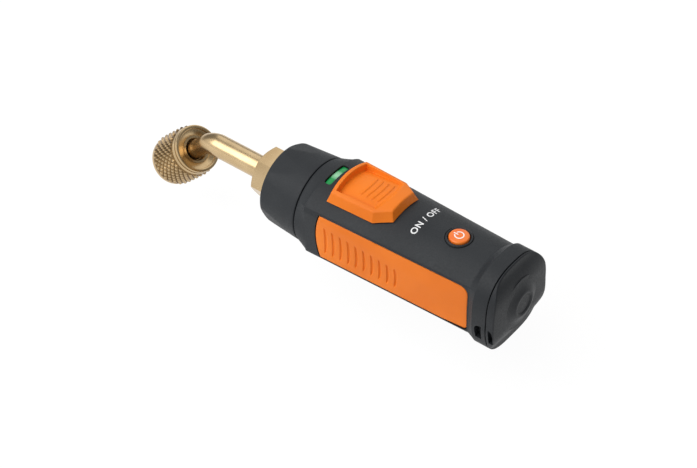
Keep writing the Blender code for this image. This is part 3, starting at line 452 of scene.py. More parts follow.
def gripHole(side):                               # the recess that the grip lies in
    points = []
    gap = grip["gap"]
    low, high = gripLimits(grip["front"])
    for v in [i / 24 for i in range(25)]:
        points.append((gripEnds(v, low, high)[0] - gap, mix(low - gap, high + gap, v)))
    low, high = gripLimits(grip["rear"])
    for v in [1 - i / 60 for i in range(61)]:
        points.append((gripEnds(v, low, high)[1] + gap, mix(low - gap, high + gap, v)))
    bm = bmesh.new()
    bridgeLoops(bm, [[place(s, side * y, z) for s, z in points] for y in grip["recess"]])
    return finishPiece("gripHole", bm, None)


window = {"station": 22.5, "half": 5.2, "wide": 1.35, "corner": 0.9, "gap": 0.25, "sunk": 0.55, "thick": 1.4}
button = {
    "station": 71.6, "radius": 3.4, "rise": 0.9, "ring": 4.5, "ringRise": 0.25, "gap": 0.2, "seatDeep": 1.3,
}
latch = {
    "front": 25.8, "side": 44.2, "rear": 50.6, "half": (10.5, 9.9), "rearHalf": 6.0, "rise": 3.4,
    "draft": 0.9, "rim": 1.5, "edge": 0.75, "deep": 2.6, "shallow": 0.7, "dishEnd": 46.2, "ridges": 4,
    "ridgeSpan": (36.2, 43.0), "ridgeHigh": 0.32, "ridgeBow": 1.1, "ridgeHalf": 5.2, "bow": 0.7, "foot": 0.35,
    "columns": 220, "rows": 180,
}
eyelet = {
    "height": -4.3, "tall": 6.0, "ahead": 4.4, "behind": 3.1, "bar": 1.5, "depth": 0.9, "tunnel": 1.5,
    "swell": 0.22, "swellHeight": 1.4, "swellTall": 4.5, "swellLong": 5.2,
}


def spineCutters():
    bm = bmesh.new()                              # light window's slot, with round corners
    bmesh.ops.create_cube(bm, size=1)
    bmesh.ops.scale(bm, vec=(window["wide"] * 2 * mm, window["half"] * 2 * mm, 6 * mm), verts=bm.verts)
    upright = [e for e in bm.edges if abs(e.verts[0].co.z - e.verts[1].co.z) > 1e-4]
    bmesh.ops.bevel(bm, geom=upright, offset=window["corner"] * mm, affect="EDGES", segments=6, profile=0.5,
                    material=-1)
    bmesh.ops.translate(bm, vec=place(window["station"], 0, handle["top"] + 0.4), verts=bm.verts)
    slot = finishPiece("windowSlot", bm, None)
    bm = bmesh.new()                              # round seat of the button
    radius, depth = (button["ring"] + button["gap"]) * mm, 5
    bmesh.ops.create_cone(bm, cap_ends=True, segments=96, radius1=radius, radius2=radius, depth=depth * mm)
    height = handle["top"] - button["seatDeep"] + depth / 2
    bmesh.ops.translate(bm, vec=place(button["station"], 0, height), verts=bm.verts)
    return [slot, finishPiece("buttonSeat", bm, None)]


def eyeletCutter(side):
    far = flange["half"] + 1.0
    bar = flange["half"] - eyelet["depth"]
    back = bar - eyelet["tunnel"]
    front, rear = handle["seam"] - eyelet["ahead"], handle["seam"] + eyelet["behind"]
    barFront = handle["seam"] - eyelet["bar"]
    barRear = handle["seam"] + flange["gap"] + eyelet["bar"] * 0.6
    low, high = eyelet["height"] - eyelet["tall"] / 2, eyelet["height"] + eyelet["tall"] / 2
    loops = []
    for i in range(13):                           # two pockets joined behind a bar, arched at the top
        t = i / 12
        squeeze = 1 - 0.9 * (1 - math.sqrt(1 - clamp((t - 0.55) / 0.45) ** 2)) - 0.18 * (1 - t)
        frontIn, rearIn = barFront - (barFront - front) * squeeze, barRear + (rear - barRear) * squeeze
        backIn = mix(bar, back, clamp(squeeze * 1.15)) - 0.02
        plan = [(frontIn, far), (barFront, far), (barFront, bar), (barRear, bar), (barRear, far),
                (rearIn, far), (rearIn, backIn), (frontIn, backIn)]
        loops.append([place(s, side * y, mix(low, high, t)) for s, y in plan])
    bm = bmesh.new()
    bridgeLoops(bm, loops)
    return finishPiece("eyeletTool", bm, None)


def swollen(points, station):                     # the flange bulges round each eyelet
    along = ease(1 - abs(station - handle["seam"]) / eyelet["swellLong"])
    out = []
    for p in points:
        high = ease(1 - abs(p.y - eyelet["height"] - eyelet["swellHeight"]) / eyelet["swellTall"])
        out.append(Vector((p.x + math.copysign(eyelet["swell"] * along * high, p.x), p.y)))
    return out


def makeHandleShell():
    full = section(handleSize(handle["full"]))
    circle = roundRing(full, handle["collarRadius"])
    rearRing = section(handleSize(handle["rear"]))
    end = eggRing()
    front, radius, plug = handle["front"], handle["collarRadius"], roundRing(full, handle["plugRadius"])
    loops = [(handle["plugEnd"], plug), (front, plug), (front, roundRing(full, radius - 0.35)),
             (front + 0.12, roundRing(full, radius - 0.1)), (front + 0.35, circle)]
    for i in range(1, 13):                        # the round front turns into the arched section
        t = i / 12
        blend = ease(t * 0.5 + 0.25) * 1.0909 - 0.0455 if i < 12 else 1.0
        loops.append((mix(front + 0.35, handle["full"] - 0.6, t), lerpRing(circle, full, blend)))
    for i in range(25):
        station = mix(handle["full"], handle["rear"], i / 24)
        loops.append((station, section(handleSize(station))))
    for t in (0.04, 0.92, 0.98):                  # a plain ramp with crisp edges
        loops.append((handle["rear"] + flange["ramp"] * t, lerpRing(rearRing, end, t)))
    rampEnd = handle["rear"] + flange["ramp"]
    for i in range(17):
        station = mix(rampEnd, handle["seam"] - 0.15, i / 16)
        loops.append((station, swollen(end, station)))
    seam = handle["seam"]
    loops += [(seam, swollen(eggRing(0.15), seam)), (seam, eggRing(0.3)), (seam, eggRing(3.2)),
              (seam - 6.0, eggRing(3.4))]
    bm = bmesh.new()
    bridgeLoops(bm, [ringAt(station, points) for station, points in loops])
    smooth = handle["smooth"]
    shell = finishPiece("handleShell", bm, "handle", ["handle_housing"], "charcoal_plastic", black, smooth)
    tools = [gripHole(1), gripHole(-1), *spineCutters(), eyeletCutter(1), eyeletCutter(-1)]
    for tool in tools:
        cutWith(shell, tool)
    applyCuts(shell, tools, smooth)


def makeRearCap():
    front, rim = handle["seam"] + flange["gap"], flange["rim"]

    def faced(points, shrink, back):              # onto the end face, a dome that rolls over at top and foot
        out = []
        for p in points:
            over = max(p.y - flange["flatTop"], flange["flatFoot"] - p.y, 0)
            station = flange["plate"] - flange["dome"] * shrink ** 4 - over ** 2 / flange["curve"] / 2
            least = front + flange["least"] + 1.1 * (1 - shrink)
            station = -softMin(-station, -least, 0.8)
            out.append(place(station - back, p.x, p.y))
        return out

    loops = [ringAt(front - 4.5, eggRing(4.2)), ringAt(front, eggRing(3.5)), ringAt(front, eggRing(0.3)),
             ringAt(front, swollen(eggRing(0.12), front)),
             ringAt(front + 0.15, swollen(eggRing(), front + 0.15))]
    for angle in (0, 20, 40, 60, 75, 90):         # rounded rim
        a = math.radians(angle)
        loops.append(faced(swollen(eggRing(rim * (1 - math.cos(a))), 94.0), 1.0, rim * (1 - math.sin(a))))
    for shrink in (0.95, 0.9, 0.85, 0.8, 0.74, 0.67, 0.6, 0.5, 0.4, 0.3):
        loops.append(faced(eggRing(rim, shrink), shrink, 0.0))
    bm = bmesh.new()
    bridgeLoops(bm, loops)
    cap = finishPiece("rearCap", bm, "handle", ["end_cap"], "charcoal_plastic", black, handle["smooth"])
    tools = [eyeletCutter(1), eyeletCutter(-1)]
    for tool in tools:
        cutWith(cap, tool)
    applyCuts(cap, tools, handle["smooth"])


boss = {"height": 1.2, "radius": 4.8, "foot": 9.8, "base": 95.0, "top": 97.2, "dish": 0.45}


def spunBody(profile, steps):                     # a profile of height and radius, spun round local Z
    bm = bmesh.new()
    verts = [bm.verts.new((radius * mm, 0, along * mm)) for along, radius in profile]
    edges = [bm.edges.new(pair) for pair in zip(verts, verts[1:])]
    bmesh.ops.spin(bm, geom=verts + edges, cent=(0, 0, 0), axis=(0, 0, 1), angle=math.tau, steps=steps,
                   use_merge=True)
    bmesh.ops.remove_doubles(bm, verts=bm.verts[:], dist=1e-7)
    return bm


def spunPiece(name, profile, origin, axis, *more):
    bm = spunBody(profile, 96)
    turn = Vector((0, 0, 1)).rotation_difference(axis).to_matrix().to_4x4()
    bmesh.ops.transform(bm, matrix=Matrix.Translation(origin) @ turn, verts=bm.verts)
    finishPiece(name, bm, *more)


def makeBoss():
    top, radius, floor = boss["top"] - boss["base"], boss["radius"], boss["top"] - boss["base"] - boss["dish"]
    profile = [(0, 0), (0.2, boss["foot"])]       # a concave flare runs from the face up to the boss
    for i in range(13):
        t = i / 12
        profile.append((mix(0.72, top - 0.12, t ** 1.9), mix(boss["foot"], radius + 0.1, t)))
    profile += [(top - 0.05, radius - 0.12), (top, radius - 0.4), (top - 0.03, radius - 0.75),
                (floor, radius - 1.3), (floor, 0)]
    spunPiece("capBoss", profile, place(boss["base"], 0, boss["height"]), Vector((1, 0, 0)), "handle", (),
              "charcoal_plastic", black, 35)


collar = {
    "length": 15.8, "frontRadius": 14.2, "rearRadius": 15.2, "edge": 1.9, "flats": 8, "flatStart": 13.3,
    "flatEnd": 15.7, "mouth": 7.5, "mouthDeep": 7.0, "inner": 11.5, "points": 240, "smooth": 28,
}


def makeCollar():
    length, front, rear, edge = collar["length"], collar["frontRadius"], collar["rearRadius"], collar["edge"]
    count, mouth = collar["points"], collar["mouth"]

    def ring(station, radius, flat=True):
        points = []
        inner = mix(collar["flatStart"], collar["flatEnd"], station / length)
        step = math.tau / collar["flats"]
        for i in range(count):
            a = math.tau * i / count
            polygon = inner / math.cos((a + step) % step - step / 2)
            r = softMin(radius, polygon, 0.12) if flat else radius
            points.append(place(station, r * math.cos(a), r * math.sin(a)))
        return points

    loops = [ring(collar["mouthDeep"], mouth, False), ring(0.15, mouth, False), ring(0.0, mouth + 0.2, False)]
    for i in range(9):                            # rounded front edge
        a = math.radians(180 - 90 * i / 8)
        loops.append(ring(edge * (1 + math.cos(a)), front - edge * (1 - math.sin(a)), i > 1))
    for i in range(1, 25):
        t = i / 24
        loops.append(ring(mix(edge, length - 0.35, t), mix(front, rear, t)))
    loops += [ring(length - 0.12, rear - 0.1, False), ring(length, rear - 0.35, False),
              ring(length, collar["inner"], False)]
    bm = bmesh.new()
    bridgeLoops(bm, loops)
    finishPiece("collarShell", bm, "handle", ["front_collar"], "charcoal_plastic", black, collar["smooth"])


def latchHalf(station):                           # half width of the thumb latch at its foot
    front, side, rear = latch["front"], latch["side"], latch["rear"]
    if station <= side:
        return mix(*latch["half"], (station - front) / (side - front))
    return mix(latch["half"][1], latch["rearHalf"], (station - side) / (rear - side))


def latchTop(station, y):                         # height over the crown
    half = latchHalf(station) - latch["draft"]
    slant = 0.83 if station > latch["side"] else 1.0
    out = min(station - latch["front"] - latch["draft"], latch["rear"] - latch["draft"] - station,
              (half - abs(y)) * slant)
    drop = 0.0
    if out < latch["edge"]:
        drop = latch["edge"] - math.sqrt(max(latch["edge"] ** 2 - (latch["edge"] - max(out, 0)) ** 2, 0))
    inner = half - latch["rim"]
    front = latch["front"] + latch["draft"] + latch["rim"]
    t = clamp((station - front) / (latch["dishEnd"] - front))
    deep = mix(latch["deep"], latch["shallow"], t ** 0.85)
    rearLine = latch["dishEnd"] - 1.6 * (abs(y) / max(inner, 0.1)) ** 2
    wall = min((station - front) / 0.45, (inner - abs(y)) / 0.45, (rearLine - station) / 2.0)
    depth = deep * ease(wall)
    ridge = 0.0
    first, last = latch["ridgeSpan"]
    pitch = (last - first) / (latch["ridges"] - 1)
    bow, side = latch["ridgeBow"], latch["ridgeHalf"]
    spot = station - bow * (1 - (y / 6.2) ** 2)
    number = round((spot - first + bow) / pitch)
    if 0 <= number < latch["ridges"] and abs(y) < side:
        across = abs(spot + bow - first - number * pitch) / 0.5
        ridge = latch["ridgeHigh"] * ease(1 - across) * ease((side - abs(y)) / 1.2)
    return latch["rise"] - drop - depth + ridge


def makeLatch():
    bm = bmesh.new()
    bmesh.ops.create_grid(bm, x_segments=latch["columns"], y_segments=latch["rows"], size=0.5)
    rim = [e for e in bm.edges if e.is_boundary]
    size = handleSize(latch["front"])
    for vert in bm.verts:
        u, v = vert.co.x + 0.5, vert.co.y * 2
        station = mix(latch["front"] + latch["draft"], latch["rear"] - latch["draft"], u)
        y = v * (latchHalf(station) - latch["draft"])
        bow = latch["bow"] * v ** 2 * clamp(1 - u * 2)
        vert.co = place(station + bow, y, crown(size, y) + latchTop(station, y))
    skirt = bmesh.ops.extrude_edge_only(bm, edges=rim)["geom"]
    middle = (latch["front"] + latch["rear"]) / 2
    flare = 1 + latch["draft"] * 2 / (latch["rear"] - latch["front"] - 2 * latch["draft"])
    for vert in [g for g in skirt if isinstance(g, bmesh.types.BMVert)]:
        station, y = (vert.co.x - frontX) / mm, vert.co.y / mm
        station = middle + (station - middle) * flare
        half = latchHalf(clamp(station, latch["front"], latch["rear"]))
        y *= half / (half - latch["draft"])
        vert.co = place(station, y, crown(size, clamp(y, -14, 14)) + latch["foot"])
    bmesh.ops.contextual_create(bm, geom=[g for g in skirt if isinstance(g, bmesh.types.BMEdge)])
    finishPiece("thumbPad", bm, "thumb_latch", ["thumb_latch"], "orange_plastic", orangeSkin, 35)


def windowFinish():
    finish = Finish("greenWindow", IOR=1.45, Roughness=0.3, Coat_Weight=0.12)
    y = finish.axes()[1]
    glow = finish.spread((y / (2.2 * mm)) ** 2, 0.0, 1.0, 1.0, 0.0)  # painted glow: paler over the middle, as if the lamp inside lit the window from behind
    soft = finish.noise(700, 2)
    glow = glow * finish.spread(soft, 0.3, 0.7, 0.75, 1.0)
    # painted glow: deep green at the ends, pale green over the middle
    finish.feed("Base Color", finish.colours(glow, (0.002, 0.27, 0.06), (0.30, 0.62, 0.38)))
    finish.bump(soft, 0.1, 0.00002)
    return finish.material


def makeWindow():
    bm = bmesh.new()
    bmesh.ops.create_grid(bm, x_segments=12, y_segments=40, size=0.5)
    rim = [e for e in bm.edges if e.is_boundary]
    halfLong, halfWide = window["half"] - window["gap"], window["wide"] - window["gap"]
    size = handleSize(handle["full"])
    for vert in bm.verts:
        u, v = vert.co.x * 2, vert.co.y * 2
        y = v * halfLong
        vert.co = place(window["station"] + u * halfWide, y, crown(size, y) - window["sunk"] - 0.12 * u * u)
    skirt = bmesh.ops.extrude_edge_only(bm, edges=rim)["geom"]
    for vert in [g for g in skirt if isinstance(g, bmesh.types.BMVert)]:
        vert.co.z -= window["thick"] * mm
    bmesh.ops.contextual_create(bm, geom=[g for g in skirt if isinstance(g, bmesh.types.BMEdge)])
    finishPiece("lightLens", bm, "handle", ["light_window"], "green_window", windowFinish(), 40)


def buttonFinish():                               # a generic power sign: an open ring and a bar
    finish = Finish("buttonFace", IOR=1.45, Roughness=0.34, Coat_Weight=0.15)
    x, y = finish.axes()[:2]
    centre = place(button["station"])
    dx, dy = x - centre.x, y - centre.y

    def within(wire, full, none):                 # 1 up to the first millimetre value, 0 from the second
        return finish.spread(wire, full * mm, none * mm, 1.0, 0.0)

    radius = (dx * dx + dy * dy) ** 0.5
    ring = within((radius - 1.45 * mm).sum("ABSOLUTE"), 0.17, 0.23)
    opening = dy.sum("ABSOLUTE") + (dx + 0.2 * mm).sum("MAXIMUM", 0.0) * 5
    gap = finish.share(opening, 0.5 * mm, 0.56 * mm)
    bar = within(dy.sum("ABSOLUTE"), 0.17, 0.22) * within((dx + 1.25 * mm).sum("ABSOLUTE"), 0.85, 0.9)
    sign = (ring * gap).sum("MAXIMUM", bar)
    shade = finish.share(finish.noise(160, 2), 0.35, 0.65)
    face = finish.colours(shade, (0.83, 0.13, 0.012), (0.90, 0.22, 0.02))
    finish.feed("Base Color", finish.colours(sign * within(radius, 2.85, 2.9), face, (0.9, 0.88, 0.85)))
    finish.bump(finish.noise(2200, 2), 0.06, 0.00001)
    return finish.material


def makeButton():
    top = handle["top"] + button["rise"]
    r = button["radius"]
    domeHigh, domeRadius = 0.32, r - 0.2
    profile = [(-2.6, 0), (-2.6, r), (-0.75, r), (-0.5, r - 0.05), (-domeHigh, domeRadius)]
    for angle in (12, 24, 36, 48, 60, 72, 82):    # low dome
        a = math.radians(angle)
        profile.append((-domeHigh + domeHigh * math.sin(a), domeRadius * math.cos(a)))
    profile.append((0, 0))
    up = Vector((0, 0, 1))
    spunPiece("pushButton", profile, place(button["station"], 0, top), up, "power_button", ["power_button"],
              "orange_plastic", buttonFinish(), 40)
    low = handle["top"] - 1.2
    inner, outer, high = r + 0.3, button["ring"], handle["top"] + button["ringRise"]
    bezel = [(low, inner), (low, outer), (high - 0.45, outer), (high - 0.2, outer - 0.07),
             (high - 0.06, outer - 0.22), (high, outer - 0.42), (high, inner + 0.35),
             (high - 0.06, inner + 0.15), (high - 0.25, inner), (low, inner)]
    spunPiece("buttonBezel", bezel, place(button["station"]), up, "handle", ["button_ring"],
              "charcoal_plastic", black, 40)


def printFinish():
    finish = Finish("whitePrint", Roughness=0.5)
    speckle = finish.share(finish.noise(5200, 3, 0.7), 0.35, 0.6)
    finish.feed("Base Color", finish.colours(speckle, (0.72, 0.73, 0.74), (0.9, 0.9, 0.9)))
    return finish.material


lettering = {
    "station": 58.2, "shift": 0.4, "size": 3.1, "bolder": 0.055, "spacing": 1.12, "above": 0.03,
    "thick": 0.06,
}


def makePrint():                                  # runs across the spine, its top towards the front
    curve = bpy.data.curves.new("switchPrint", "FONT")
    curve.body = "ON / OFF"
    curve.align_x, curve.align_y = "CENTER", "CENTER"
    curve.size = lettering["size"] * mm
    curve.offset = lettering["bolder"] * mm
    curve.space_character = lettering["spacing"]
    word = bpy.data.objects.new("switchPrintCurve", curve)
    bpy.context.scene.collection.objects.link(word)
    bpy.context.view_layer.update()
    mesh = bpy.data.meshes.new_from_object(word.evaluated_get(bpy.context.evaluated_depsgraph_get()))
    bpy.data.objects.remove(word, do_unlink=True)
    bm = bmesh.new()
    bm.from_mesh(mesh)
    bmesh.ops.triangulate(bm, faces=bm.faces[:])
    bmesh.ops.subdivide_edges(bm, edges=[e for e in bm.edges if e.calc_length() > 0.4 * mm], cuts=3)
    size = handleSize(lettering["station"])
    for vert in bm.verts:
        y = vert.co.x / mm + lettering["shift"]
        vert.co = place(lettering["station"] - vert.co.y / mm, y, crown(size, y) + lettering["above"])
    under = bmesh.ops.extrude_face_region(bm, geom=bm.faces[:])["geom"]
    bmesh.ops.translate(bm, vec=(0, 0, -lettering["thick"] * mm),
                        verts=[g for g in under if isinstance(g, bmesh.types.BMVert)])
    finishPiece("switchPrint", bm, "handle", (), None, printFinish(), 40)


nut = {
    "rear": -7.2, "length": 18.5, "radius": 9.15, "rim": 8.4, "neck": 3.65, "dishNeck": 4.9, "dish": 7.0,
    "dishDeep": 1.2, "knurlStart": 2.9, "knurlEnd": 16.1, "cells": 27, "cellsLong": 5, "deep": 0.62,
    "groove": 0.36, "round": 1.65, "thread": 5.55, "turns": 9, "wall": 4.5, "steps": 270,
}
tube = {
    "radius": 4.0, "neck": 3.25, "bore": 1.9, "flange": 5.0, "flangeLong": 2.4, "bend": 8.5, "elbow": -32.4,
    "start": -4.0,
}


def makeNut():
    rear, length, full, deep, corner = nut["rear"], nut["length"], nut["radius"], nut["deep"], nut["round"]
    rim, neck, wall, thread = nut["rim"], nut["neck"], nut["wall"], nut["thread"]
    dish, dishDeep, dishNeck = nut["dish"], nut["dishDeep"], nut["dishNeck"]
    start, end, rows = nut["knurlStart"], nut["knurlEnd"], nut["cellsLong"]
    valley = full - deep
    profile = [(wall, neck), (dishDeep + 0.5, neck), (dishDeep, neck + 0.4), (dishDeep, dishNeck),
               (dishDeep - 0.3, dishNeck + 0.35), (0.45, dish), (0.12, dish + 0.15), (0.0, dish + 0.4),
               (0.0, rim - 0.35), (0.1, rim - 0.1), (0.35, rim), (1.0, rim), (1.1, rim - 0.25),
               (1.45, rim - 0.25), (1.55, rim + 0.05), (2.1, rim + 0.1), (2.25, valley - 0.2),
               (start - 0.2, valley)]
    profile += [(mix(start, end, i / (rows * 8)), full) for i in range(rows * 8 + 1)]
    profile.append((end + 0.3, valley))
    for i in range(9):
        a = math.radians(90 - 90 * i / 8)
        profile.append((length - corner + corner * math.cos(a), valley - corner + corner * math.sin(a)))
    profile += [(length, thread + 0.5), (length - 0.5, thread)]
    for i in range(nut["turns"] * 4 + 1):         # thread shown as fine rings down the bore
        along = mix(length - 0.7, wall + 0.6, i / (nut["turns"] * 4))
        profile.append((along, thread - (0.0, 0.16, 0.32, 0.16)[i % 4]))
    profile += [(wall, thread), (wall, neck)]
    bm = spunBody([(along + rear, radius) for along, radius in profile], nut["steps"])
    # ridge: how high each point of the knurl stands, 0 in the valleys, where the brass finish paints shade
    ridge = bm.verts.layers.float.new("ridge")
    for vert in bm.verts:                         # two crossing sets of grooves leave small pyramids
        vert[ridge] = 1.0
        along = vert.co.z / mm - rear
        radius = math.hypot(vert.co.x, vert.co.y) / mm
        if radius < full - 0.01 or not start - 0.01 < along < end + 0.01:
            continue
        u = math.atan2(vert.co.y, vert.co.x) / math.tau * nut["cells"]
        v = (along - start) / (end - start) * rows
        first, second = abs((u + v) % 1 - 0.5), abs((u - v) % 1 - 0.5)
        high = min(0.5 - first, 0.5 - second, nut["groove"]) / nut["groove"]
        high *= ease(min(v, rows - v) / 0.3)
        vert[ridge] = high
        shrink = (full - deep * (1 - high)) / radius
        vert.co.x *= shrink
        vert.co.y *= shrink
    bmesh.ops.transform(bm, matrix=alongPort(), verts=bm.verts)
    finish = turnedBrass("knurledBrass", 0.22, True)
    finishPiece("knurledNut", bm, "swivel_nut", ["swivel_nut"], "brass", finish, 32)


def makeTube():
    turn = math.radians(45)
    elbow = place(tube["elbow"])
    trim = tube["bend"] * math.tan(turn / 2) * mm
    start = place(tube["start"])
    bm = bmesh.new()
    bmesh.ops.create_circle(bm, segments=64, radius=tube["radius"] * mm)
    bmesh.ops.rotate(bm, cent=(0, 0, 0), matrix=Matrix.Rotation(math.radians(90), 3, "Y"), verts=bm.verts)
    bmesh.ops.translate(bm, vec=start, verts=bm.verts)
    bendStart = elbow + Vector((trim, 0, 0))
    edges = extruded(bm, bm.edges[:], bendStart - start)
    centre = bendStart - Vector((0, 0, tube["bend"] * mm))
    spun = bmesh.ops.spin(bm, geom=edges, cent=centre, axis=(0, -1, 0), angle=turn, steps=20)["geom_last"]
    edges = [g for g in spun if isinstance(g, bmesh.types.BMEdge)]
    bendEnd = elbow + portAxis * trim
    flangeRear = portAxis * -tube["flangeLong"] * mm
    edges = extruded(bm, edges, flangeRear - bendEnd)
    for vert in bm.verts:                         # the tube gets thinner over its bend
        away = vert.co - centre
        turned = clamp(math.atan2(-away.x, away.z) / turn)
        if turned < 1:
            a = turned * turn
            core = centre + Vector((-math.sin(a), 0, math.cos(a))) * tube["bend"] * mm
            core.x = vert.co.x if turned == 0 else core.x
        else:
            core = portAxis * vert.co.dot(portAxis)
        vert.co = core + (vert.co - core) * mix(1.0, tube["neck"] / tube["radius"], turned)
    wide, long, bore = tube["flange"], tube["flangeLong"], tube["bore"]
    for grow, move in ((wide - 0.3, 0.0), (wide, 0.3), (wide, long - 0.3), (wide - 0.3, long),
                       (bore + 0.25, long), (bore, long - 0.25), (bore, -6.0)):
        edges = extruded(bm, edges, Vector((0, 0, 0)))
        ring = {v for e in edges for v in e.verts}
        spot = flangeRear + portAxis * move * mm
        for vert in ring:
            away = vert.co - spot
            away -= portAxis * away.dot(portAxis)
            vert.co = spot + away.normalized() * grow * mm
    finishPiece("bentTube", bm, "handle", ["port_tube"], "brass", brass, 35)


def extruded(bm, edges, move):
    new = bmesh.ops.extrude_edge_only(bm, edges=edges)["geom"]
    bmesh.ops.translate(bm, vec=move, verts=[g for g in new if isinstance(g, bmesh.types.BMVert)])
    return [g for g in new if isinstance(g, bmesh.types.BMEdge)]


hexagon = {
    "across": 15.9, "ahead": 8.0, "inside": 3.0, "crown": 0.8, "rear": -0.3, "shank": 7.2, "bore": 4.15,
    "points": 180,
}


def makeHex():
    flat = hexagon["across"] / 2
    corner = flat / math.cos(math.radians(30)) + 0.1

    def ring(station, limit, rounded=False):
        points = []
        for i in range(hexagon["points"]):
            a = math.tau * i / hexagon["points"]
            step = math.tau / 6
            polygon = flat / math.cos(a % step - step / 2)
            r = limit if rounded else softMin(polygon, limit, 0.05)
            points.append(place(station, r * math.cos(a), r * math.sin(a)))
        return points

    front, bore = -hexagon["ahead"], hexagon["bore"]
    loops = [ring(front + 5.0, bore, True), ring(front + 0.3, bore, True), ring(front, bore + 0.3, True),
             ring(front, flat - 0.45, True), ring(front + 0.1, flat - 0.1, True)]
    for i in range(1, 13):                        # the front corners are turned off to a cone
        t = i / 12
        loops.append(ring(front + 0.1 + hexagon["crown"] * t, mix(flat - 0.1, corner, t)))
    loops += [ring(hexagon["rear"], corner), ring(hexagon["rear"], hexagon["shank"], True),
              ring(hexagon["inside"], hexagon["shank"], True)]
    bm = bmesh.new()
    bridgeLoops(bm, loops)
    finishPiece("hexBody", bm, "handle", ["hex_fitting"], "brass", turnedBrass("milledBrass", 0.2), 25)


makeHandleShell()
print("handle shell made")
makeGrip("gripLeft", 1, "left_grip")
makeGrip("gripRight", -1, "right_grip")
print("grips made")
makeRearCap()
makeBoss()
makeCollar()
makeLatch()
makeWindow()
makeButton()
makePrint()
print("handle dressed")
makeNut()
makeTube()
makeHex()
print("brass made")

# inner pieces keep their shape: nodes, colour, roughness and metal of each finish
steelNodes = ("contact_spring_1", "contact_spring_2", "contact_spring_3", "front_contacts", "rear_contacts",
              "board_screw_1", "board_screw_2", "pressure_sensor")
innerFinishes = {
    "boardGreen": (("main_board", "sensor_board"), (0.02, 0.16, 0.07), 0.45, 0.0),
    "springSteel": (steelNodes, (0.6, 0.6, 0.6), 0.3, 1.0),
    "tinnedShield": (("radio_module",), (0.68, 0.68, 0.66), 0.35, 1.0),
    "ledBody": (("status_led",), (0.85, 0.86, 0.8), 0.4, 0.0),
    "cellWrap": (("battery_cell_1", "battery_cell_2", "battery_cell_3"), (0.1, 0.12, 0.16), 0.35, 0.0),
    "greyPlastic": (("battery_carrier",), (0.3, 0.31, 0.32), 0.6, 0.0),
    "switchBlack": (("tact_switch", "latch_keeper"), (0.04, 0.042, 0.045), 0.5, 0.0),
    "blackRubber": (("cap_seal", "sensor_oring"), (0.02, 0.02, 0.02), 0.8, 0.0),
    "whiteSeal": (("port_seal",), (0.82, 0.82, 0.79), 0.5, 0.0),
    "pinBrass": (("core_depressor",), (0.75, 0.52, 0.28), 0.3, 1.0),
}
for name, (nodes, colour, roughness, metallic) in innerFinishes.items():
    material = plainFinish(name, colour, roughness, metallic)
    for node in nodes:
        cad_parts[node].data.materials.clear()
        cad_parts[node].data.materials.append(material)
print("inner pieces finished")


studio = {"floorDrop": 0.012, "floorGlow": 1.06, "floorClear": 0.86, "world": 0.27, "middle": 40}
lamps = {
    "keyLight": {"spot": (-150, -380, 600), "size": (0.9, 0.9), "power": 5.6},
    "fillLight": {"spot": (-420, -380, 260), "size": (0.8, 0.8), "power": 1.2},
    "backLight": {"spot": (-100, 600, 560), "size": (1.1, 0.8), "power": 2.4},
}


def makeFloor():                                  # glows a little where it is seen, to stay white
    bm = bmesh.new()
    bmesh.ops.create_grid(bm, x_segments=2, y_segments=2, size=6)
    low = cadBox[0][2] - studio["floorDrop"]
    bmesh.ops.translate(bm, vec=(0, 0, low), verts=bm.verts)
    finish = Finish("paleFloor", Roughness=0.9)
    soft = finish.noise(3, 2)
    finish.feed("Base Color", finish.colours(soft, (0.80, 0.80, 0.80), (0.84, 0.84, 0.84)))
    path = finish.node("ShaderNodeLightPath")
    seen = path.sum("MAXIMUM", Wire(finish, path.socket.node.outputs["Is Glossy Ray"]))
    seen = seen.sum("MAXIMUM", Wire(finish, path.socket.node.outputs["Is Transmission Ray"]))
    glow = finish.node("ShaderNodeEmission", None, {"Color": (1, 1, 1, 1), "Strength": studio["floorGlow"]})
    plain = Wire(finish, finish.shader.outputs[0])
    blend = finish.node("ShaderNodeMixShader", None, {0: seen * studio["floorClear"], 1: plain, 2: glow})
    output = finish.tree.nodes["Material Output"]
    finish.tree.links.new(blend.socket, output.inputs["Surface"])
    floor = finishPiece("paleFloor", bm, None, material=finish.material)


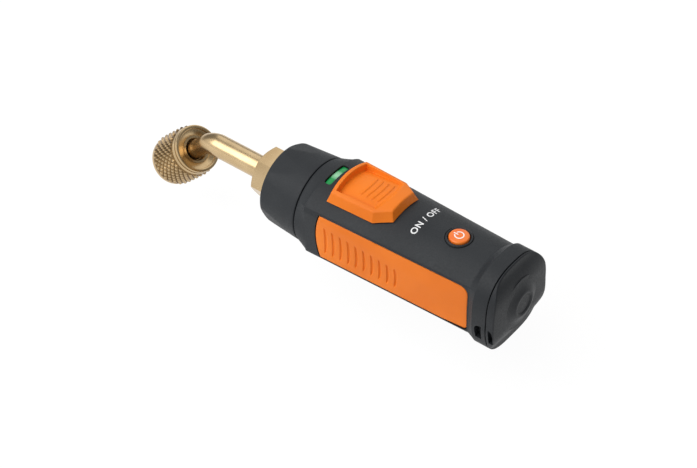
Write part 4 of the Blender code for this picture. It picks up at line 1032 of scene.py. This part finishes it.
def makeWorld():                                  # white where the camera sees it, dimmer as a light
    world = bpy.data.worlds.new("studioWorld")
    bpy.context.scene.world = world
    world.use_nodes = True
    tree = world.node_tree
    tree.nodes.clear()
    path = tree.nodes.new("ShaderNodeLightPath")
    dim = tree.nodes.new("ShaderNodeBackground")
    dim.inputs["Color"].default_value = (1, 1, 1, 1)
    dim.inputs["Strength"].default_value = studio["world"]
    bright = tree.nodes.new("ShaderNodeBackground")
    bright.inputs["Color"].default_value = (1, 1, 1, 1)
    bright.inputs["Strength"].default_value = 1.0
    either = tree.nodes.new("ShaderNodeMath")
    either.operation = "MAXIMUM"
    tree.links.new(path.outputs["Is Camera Ray"], either.inputs[0])
    tree.links.new(path.outputs["Is Transmission Ray"], either.inputs[1])
    blend = tree.nodes.new("ShaderNodeMixShader")
    output = tree.nodes.new("ShaderNodeOutputWorld")
    tree.links.new(either.outputs[0], blend.inputs[0])
    tree.links.new(dim.outputs[0], blend.inputs[1])
    tree.links.new(bright.outputs[0], blend.inputs[2])
    tree.links.new(blend.outputs[0], output.inputs["Surface"])


def areaLight(name, spot, size, power):
    data = bpy.data.lights.new(name, "AREA")
    data.shape = "RECTANGLE"
    data.size, data.size_y = size
    data.energy = power
    lamp = bpy.data.objects.new(name, data)
    bpy.context.scene.collection.objects.link(lamp)
    lamp.location = place(*spot)
    lamp.rotation_mode = "QUATERNION"
    lamp.rotation_quaternion = (place(studio["middle"]) - place(*spot)).to_track_quat("-Z", "Y")


# fitted to the photograph
camera = {
    "spot": (368.0, -417.5, 506.5), "right": (0.78498, 0.61925, -0.01811), "up": (-0.41788, 0.55085, 0.72245),
    "back": (0.45736, -0.55954, 0.69119), "lens": 116.65, "sensor": 36.0, "clip": (0.01, 50),
}


def makeCamera():
    data = bpy.data.cameras.new("photoCamera")
    data.lens = camera["lens"]
    data.sensor_width = camera["sensor"]
    data.clip_start, data.clip_end = camera["clip"]
    body = bpy.data.objects.new("photoCamera", data)
    bpy.context.scene.collection.objects.link(body)
    turn = Matrix((Vector(camera["right"]), Vector(camera["up"]), Vector(camera["back"]))).transposed()
    body.rotation_mode = "QUATERNION"
    body.rotation_quaternion = turn.to_quaternion()
    body.location = place(*camera["spot"])
    bpy.context.scene.camera = body


makeFloor()
makeWorld()
for name, lamp in lamps.items():
    areaLight(name, **lamp)
makeCamera()
bpy.context.scene.view_settings.view_transform = "Standard"
print("studio set")
